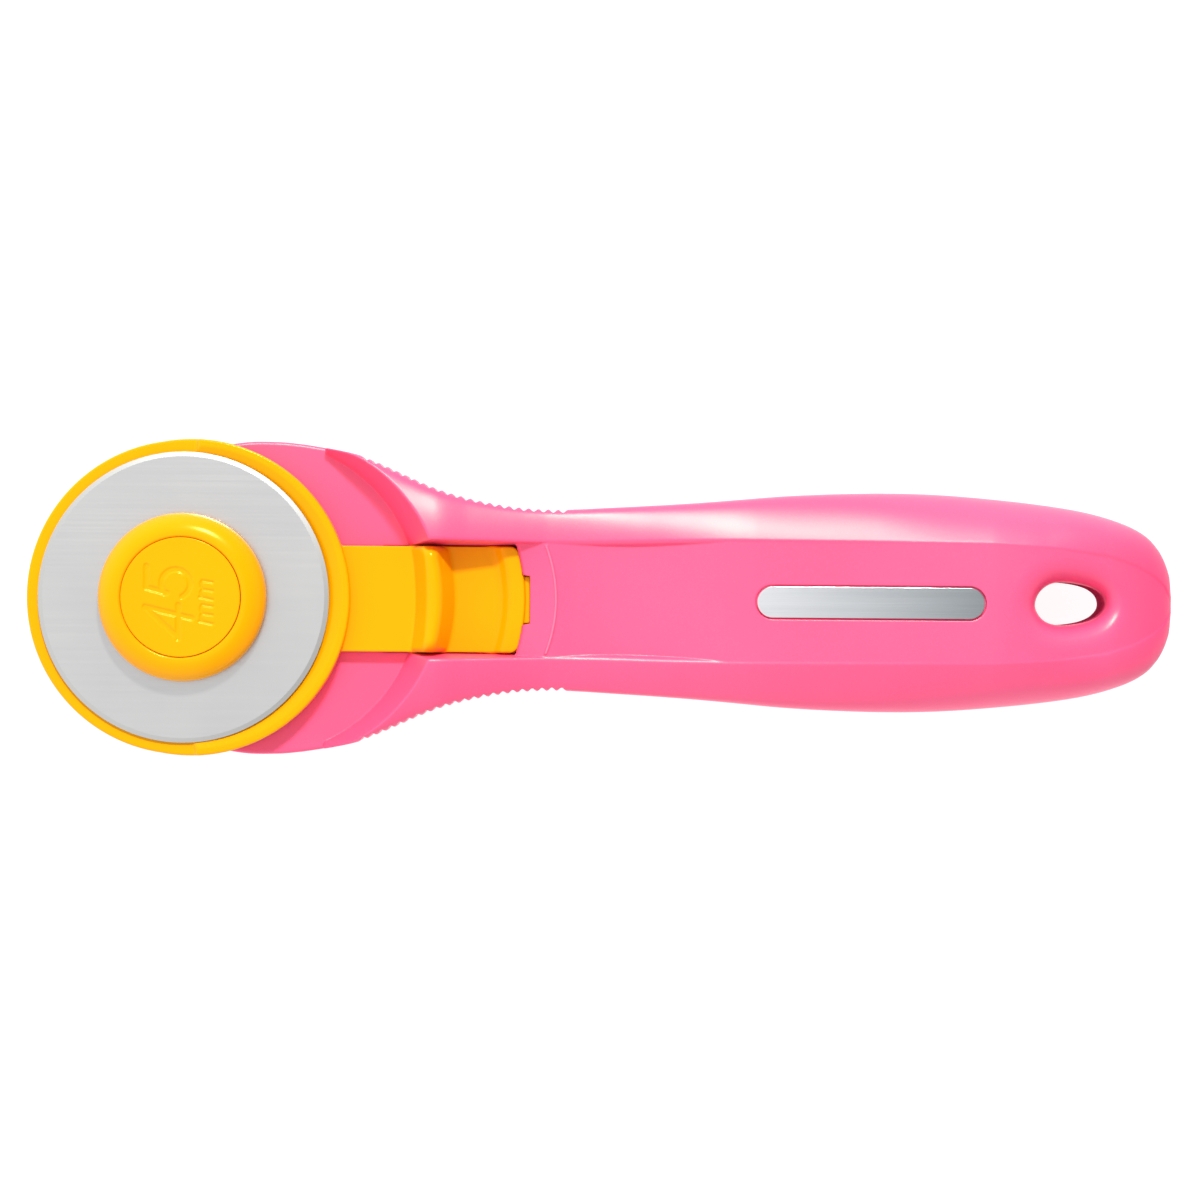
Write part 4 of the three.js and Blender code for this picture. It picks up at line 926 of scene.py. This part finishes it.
# blade
e = BLADE_Z + BLADE_T / 2
me = turned("cutting_blade", [
    (BLADE_HOLE_R, BLADE_Z + 0.03), (BLADE_HOLE_R + 0.03, BLADE_Z), (12, BLADE_Z), (BLADE_R - 0.7, BLADE_Z),
    (BLADE_R, e - 0.02), (BLADE_R, e + 0.02),
    (BLADE_R - 0.7, BLADE_Z + BLADE_T), (12, BLADE_Z + BLADE_T), (BLADE_HOLE_R + 0.03, BLADE_Z + BLADE_T),
    (BLADE_HOLE_R, BLADE_Z + BLADE_T - 0.03), (BLADE_HOLE_R, BLADE_Z + 0.03)], BLADE_X, 0, 360, 4)
ob = add("cutting_blade", me, BLADE, "blade", "blade")

# cap: domed ring and flat insert with the size cut into it
dome = bspline([(12.98, 17.9), (12.95, 18.5), (12.65, 19.25), (12.0, 20.0), (11.1, 20.6), (10.2, 20.9), (9.6, 20.93)], 5)
prof = [(PIN_R + 0.3, 17.15)] + arc(12.4, 17.75, 0.6, -90, 0, 6) + dome + [(9.4, 20.87), (9.28, 20.7), (9.25, 20.3), (9.25, 18.25), (PIN_R + 0.3, 18.25), (PIN_R + 0.3, 17.15)]
me = turned("cap_outer_ring", prof, BLADE_X, 0, 256, 40)
ob = add("cap_outer_ring", me, CAP_YELLOW, "axle", "cap_ring")

# size number and unit, as pen strokes on the disc: points in mm from its centre, width
def strokes():
    def at(points):
        return [((cx / 5 - 87.92) / 6.52, (87.47 - cy / 5) / 6.52) for cx, cy in points]

    def ring(cx, cy, rx, ry, a0, a1, n=26):
        return [(cx + rx * math.cos(math.radians(a0 + (a1 - a0) * i / n)),
                 cy - ry * math.sin(math.radians(a0 + (a1 - a0) * i / n))) for i in range(n + 1)]

    five = [[(270, 284), (270, 390), (372, 417)] + ring(417, 371, 72, 72, 222, -62)]
    four = [[(264, 487), (330, 503), (500, 543)], [(268, 492), (431, 640)], [(431, 478), (431, 644)]]
    letters = []
    for y in (0, -121):
        letters += [[(537, 557 + y), (603, 571 + y)],
                    [(552, 556 + y), (544, 546 + y), (543, 532 + y), (550, 519 + y), (603, 527 + y)],
                    [(552, 516 + y), (544, 504 + y), (543, 489 + y), (550, 475 + y), (603, 484 + y)]]
    return [(at(p), 0.47) for p in five + four] + [(at(p), 0.25) for p in letters]


def size_disc():
    step = 0.075 * 1.0
    n = int(round(9.45 / step))
    xs = (np.arange(-n, n + 1) * step).astype(F32)
    zs = spaced(18.35, (18.7, 0.12), (20.4, 0.4), (20.7, 0.08), (21.1, 0.05))
    X, Y = np.meshgrid(xs.astype(float), xs.astype(float), indexing="ij")
    pen = np.full(X.shape, 9.0)
    for points, half in strokes():
        for (ax, ay), (bx, by) in zip(points, points[1:]):
            ex, ey = bx - ax, by - ay
            t = np.clip(((X - ax) * ex + (Y - ay) * ey) / (ex * ex + ey * ey), 0, 1)
            pen = np.minimum(pen, np.hypot(X - ax - t * ex, Y - ay - t * ey) - half)
    # a shallow channel with rounded shoulders
    dip = 0.16 * (1 - smoothstep(-0.27, 0.12, pen))
    r = np.hypot(X, Y)[:, :, None]
    Z = zs[None, None, :]
    top = (Z - (CAP_TOP_Z - 0.04) + dip[:, :, None]) * 0.8
    f = both(np.maximum(r - INSERT_R, F32(18.55) - Z), top, 0.14)
    f = np.maximum(f, -np.maximum(r - 7.3, Z - F32(19.75))).astype(F32)
    return Field(f, xs + F32(BLADE_X), xs, zs)


ob = moulded("cap_size_disc", size_disc(), 60000, CAP_YELLOW, "axle", "cap_insert", 0.05)


def cross_recess(me, sx, sy, z0):
    """Sink a tapered cross into the flat of a screw head, which is cut into fine rings."""
    for v in me.vertices:
        x, y, z = v.co.x / MM - sx, v.co.y / MM - sy, v.co.z / MM
        if abs(z - z0) > 1e-3 or math.hypot(x, y) > 1.58:
            continue
        a, b = sorted((abs(x), abs(y)))
        depth = 0.9 * float(1 - smoothstep(0.2, 0.36, a)) * float(1 - smoothstep(1.2, 1.45, b))
        v.co.z += depth * MM
    bm = bmesh.new()
    bm.from_mesh(me)
    bm.normal_update()
    for e in bm.edges:
        e.smooth = not (len(e.link_faces) == 2 and e.calc_face_angle(0) > math.radians(35))
    bm.to_mesh(me)
    bm.free()


# axle pin
gz0, gz1 = GROOVE_Z
prof = [(0, PIN_END_Z), (PIN_R - 0.8, PIN_END_Z), (PIN_R - 0.6, PIN_END_Z + 0.1), (PIN_R, PIN_END_Z + 1.0), (PIN_R, gz0 - 0.2),
        (PIN_R - 0.1, gz0 - 0.1), (GROOVE_R, gz0 + 0.2), (GROOVE_R, gz1 - 0.15), (PIN_R - 0.1, gz1 + 0.1), (PIN_R, gz1 + 0.2), (PIN_R, 18.5),
        (7.0, 18.5)] + arc(6.75, 19.2, 0.25, 0, 90, 4) + [(0, 19.45)]
me = turned("pull_out_axle", prof, BLADE_X, 0, 96, 25)
ob = add("pull_out_axle", me, ZINC, "axle", "axle_pin")

# curved washer under the cap
prof = [(PIN_R + 0.4, 16.58), (6.8, 16.68), (9.14, 16.8), (9.2, 16.86), (9.2, 16.98), (9.14, 17.02), (6.8, 16.89), (PIN_R + 0.4, 16.78), (PIN_R + 0.4, 16.58)]
me = turned("spring_washer", prof, BLADE_X, 0, 128, 40)
ob = add("spring_washer", me, WIRE, "axle", "curved_washer")

# name plate
bm = bmesh.new()
L, W2 = PLATE_L - 0.1, PLATE_W - 0.1


def stadium_loop(inset, z, n=24):
    r = W2 / 2 - inset
    h = L / 2 - W2 / 2
    out = []
    for s in (1, -1):
        for i in range(n + 1):
            a = -math.pi / 2 + math.pi * i / n
            out.append(bm.verts.new(((PLATE_CX + s * (h + r * math.cos(a))) * MM, s * r * math.sin(a) * MM, z * MM)))
    return out


loops = [stadium_loop(0.07, PANEL_Z - 0.7), stadium_loop(0.07, PANEL_Z - 0.19), stadium_loop(0.085, PANEL_Z - 0.16),
         stadium_loop(0.11, PANEL_Z - 0.15), stadium_loop(0.15, PANEL_Z - 0.15), stadium_loop(0.3, PANEL_Z - 0.15)]
for a, b in zip(loops, loops[1:]):
    for i in range(len(a)):
        j = (i + 1) % len(a)
        bm.faces.new((a[i], a[j], b[j], b[i]))
bm.faces.new(list(reversed(loops[0])))
bm.faces.new(loops[-1])
bmesh.ops.recalc_face_normals(bm, faces=bm.faces)
ob = add("blank_name_plate", finish_bm("blank_name_plate", bm, 30), BRUSHED, "handle", "name_plate")


# wire that clasps the pin's groove
def wire(name, pts, radius, z):
    c = bpy.data.curves.new(name, "CURVE")
    c.dimensions = "3D"
    s = c.splines.new("POLY")
    path = bspline(pts, 10)
    s.points.add(len(path) - 1)
    for p, q in zip(s.points, path):
        p.co = (q[0] * MM, q[1] * MM, z * MM, 1)
    c.bevel_depth = radius * MM
    c.bevel_resolution = 6
    c.use_fill_caps = True
    t = bpy.data.objects.new(name + "_tmp", c)
    bpy.context.scene.collection.objects.link(t)
    bpy.context.view_layer.update()
    me = bpy.data.meshes.new_from_object(t.evaluated_get(bpy.context.evaluated_depsgraph_get()))
    me.name = name
    bpy.data.objects.remove(t)
    bm = bmesh.new()
    bm.from_mesh(me)
    bmesh.ops.remove_doubles(bm, verts=bm.verts, dist=1e-7)
    bmesh.ops.recalc_face_normals(bm, faces=bm.faces)
    bpy.data.meshes.remove(me)
    return finish_bm(name, bm, 40)


wy = GROOVE_R + 0.65
pts = [(BLADE_X + 9.5, 5.6), (BLADE_X + 7.2, wy + 0.2), (BLADE_X + 4, wy), (BLADE_X, wy), (BLADE_X - 4, wy)]
pts += [(BLADE_X - 5.2 + wy * 1.05 * math.cos(math.pi / 2 + math.pi * i / 8), wy * math.sin(math.pi / 2 + math.pi * i / 8)) for i in range(1, 8)]
pts += [(BLADE_X - 4, -wy), (BLADE_X, -wy), (BLADE_X + 4, -wy), (BLADE_X + 7.2, -wy - 0.2), (BLADE_X + 9.5, -5.6)]
ob = add("clasp_wire", wire("clasp_wire", pts, 0.5, sum(GROOVE_Z) / 2), WIRE, "handle", "retaining_spring")

# leaf spring of the detent
line = bspline([(-24.8, 11.92), (-22.8, 11.92), (-21.4, 11.95), (-20.2, 12.36), (-19.4, 12.64), (-19.0, 12.68), (-18.6, 12.64), (-17.8, 12.36), (-16.6, 11.95), (-14.0, 11.92), (-8.0, 11.92)], 8)
bm = bmesh.new()
hw, ht, rr = 2.4, 0.17, 0.08
sect = [(-hw + rr, -ht), (hw - rr, -ht), (hw, -ht + rr), (hw, ht - rr), (hw - rr, ht), (-hw + rr, ht), (-hw, ht - rr), (-hw, -ht + rr)]
rings = []
for i, (px, pz) in enumerate(line):
    a, b = line[max(i - 1, 0)], line[min(i + 1, len(line) - 1)]
    tx, tz = b[0] - a[0], b[1] - a[1]
    l = math.hypot(tx, tz)
    nx, nz = -tz / l, tx / l
    rings.append([bm.verts.new(((px + nx * v) * MM, u * MM, (pz + nz * v) * MM)) for u, v in sect])
for a, b in zip(rings, rings[1:]):
    for i in range(len(sect)):
        j = (i + 1) % len(sect)
        bm.faces.new((a[i], a[j], b[j], b[i]))
bm.faces.new(rings[0])
bm.faces.new(list(reversed(rings[-1])))
bmesh.ops.recalc_face_normals(bm, faces=bm.faces)
ob = add("detent_leaf", finish_bm("detent_leaf", bm, 40), WIRE, "handle", "detent_spring")

# screws, with a cross recess
for name, sx, sy in SCREWS:
    z0 = screw_seat(sx)
    prof = [(0, z0)] + [(0.1 * i, z0) for i in range(1, 17)] + arc(SCREW_HEAD_R - 0.45, z0 + 0.45, 0.45, -90, 0, 5) + \
        [(SCREW_HEAD_R, z0 + SCREW_HEAD_T - 0.1), (SCREW_HEAD_R - 0.06, z0 + SCREW_HEAD_T - 0.05), (SCREW_SHANK_R, z0 + SCREW_HEAD_T - 0.05)]
    z = z0 + SCREW_HEAD_T + 0.3
    while z < z0 + SCREW_L - 1.4:
        prof += [(SCREW_SHANK_R - 0.2, z), (SCREW_SHANK_R, z + 0.32), (SCREW_SHANK_R, z + 0.38), (SCREW_SHANK_R - 0.2, z + 0.7)]
        z += 0.75
    prof += [(SCREW_SHANK_R - 0.25, z), (0.25, z0 + SCREW_L - 0.1), (0, z0 + SCREW_L)]
    me = turned(name + "_turned", prof, sx, sy, 96, 30)
    cross_recess(me, sx, sy, z0)
    ob = add("back_screw_" + name[-1], me, ZINC, "handle", name)

# ---------------------------------------------------------------------- stage
scene = bpy.context.scene
me = bpy.data.meshes.new("floor")
bm = bmesh.new()
R = 3.0
bm.faces.new([bm.verts.new((x * R, y * R, -0.00002)) for x, y in ((-1, -1), (1, -1), (1, 1), (-1, 1))])
bm.to_mesh(me)
bm.free()
floor = bpy.data.objects.new("floor", me)
scene.collection.objects.link(floor)
n = Nodes("pale_floor")
n.set(Base_Color=n.ramp(n.noise(n.pos, 3.0), [(0.3, (0.19, 0.19, 0.19, 1)), (0.7, (0.21, 0.21, 0.21, 1))]), Roughness=0.9)
n.set(Emission_Color=(1, 1, 1, 1), Emission_Strength=0.93)
n.p.inputs["Specular IOR Level"].default_value = 0.1
# the floor shows only from above, so the back of the object can be seen from below
under = n.t.nodes.new("ShaderNodeMixShader")
n.link(n.t.nodes.new("ShaderNodeNewGeometry").outputs["Backfacing"], under.inputs[0])
n.link(n.p.outputs[0], under.inputs[1])
n.link(n.t.nodes.new("ShaderNodeBsdfTransparent").outputs[0], under.inputs[2])
n.link(under.outputs[0], n.out.inputs[0])
me.materials.append(n.mat)

world = bpy.data.worlds.new("studio")
scene.world = world
world.use_nodes = True
wt = world.node_tree
bg = wt.nodes["Background"]
bg.inputs[0].default_value = (1.0, 1.0, 1.0, 1)
tc = wt.nodes.new("ShaderNodeTexCoord")
sep = wt.nodes.new("ShaderNodeSeparateXYZ")
wt.links.new(tc.outputs["Generated"], sep.inputs[0])


def world_map(v, a, b, c, d):
    m = wt.nodes.new("ShaderNodeMapRange")
    m.interpolation_type = "SMOOTHSTEP"
    for i, x in zip((1, 2, 3, 4), (a, b, c, d)):
        m.inputs[i].default_value = x
    wt.links.new(v, m.inputs[0])
    return m.outputs[0]


def world_math(op, a, b):
    m = wt.nodes.new("ShaderNodeMath")
    m.operation = op
    wt.links.new(a, m.inputs[0])
    wt.links.new(b, m.inputs[1])
    return m.outputs[0]


side = world_map(sep.outputs[0], 0.0, 0.3, 1.0, 0.45)
low = world_map(sep.outputs[2], 0.25, 0.85, 1.35, 0.93)
wt.links.new(world_math("MULTIPLY", side, low), bg.inputs[1])


def area_light(name, loc, target, size, power, color=(1, 1, 1)):
    l = bpy.data.lights.new(name, "AREA")
    l.shape = "RECTANGLE"
    l.size, l.size_y = size
    l.energy = power
    l.color = color
    o = bpy.data.objects.new(name, l)
    o.location = loc
    o.rotation_euler = (Vector(target) - Vector(loc)).to_track_quat("-Z", "Y").to_euler()
    scene.collection.objects.link(o)
    return o


def shines_on(light, name, materials):
    """Limit a light to the pieces made of some materials."""
    group = bpy.data.collections.new(name)
    for o in scene.objects:
        if o.type == "MESH" and o.data.materials and o.data.materials[0] in materials:
            group.objects.link(o)
    light.light_linking.receiver_collection = group


# a small soft key from the upper edge; the moulded grip gets a wider panel for its sheen
key = area_light("key_soft", (0.16, 1.0, 1.12), (0, 0, 0), (0.2, 0.14), 19.5, (1.0, 0.985, 0.95))
shines_on(key, "smooth_pieces", (YELLOW, CAP_YELLOW, BLADE, BRUSHED, ZINC, WIRE, floor.data.materials[0]))
key = area_light("key_soft_grip", (0.16, 1.0, 1.12), (0, 0, 0), (0.2, 0.14), 19.5, (1.0, 0.985, 0.95))
key.visible_glossy = False
shines_on(key, "grip_pieces", (PINK,))
panel = area_light("sheen_grip", (-0.085, 1.0, 1.12), (0, 0, 0), (0.45, 0.17), 39.0, (1.0, 0.92, 0.64))
panel.visible_diffuse = False
shines_on(panel, "grip_sheen_pieces", (PINK,))

cam = bpy.data.cameras.new("camera")
cam.sensor_width = 36
cam.lens = 116.46
cam.clip_start, cam.clip_end = 0.01, 20
camo = bpy.data.objects.new("camera", cam)
camo.location = (-0.24 * MM, 0.09 * MM, 616.3 * MM)
camo.rotation_euler = (0, 0, math.radians(0.475))
scene.collection.objects.link(camo)
scene.camera = camo
scene.view_settings.view_transform = "Standard"
scene.view_settings.look = "None"
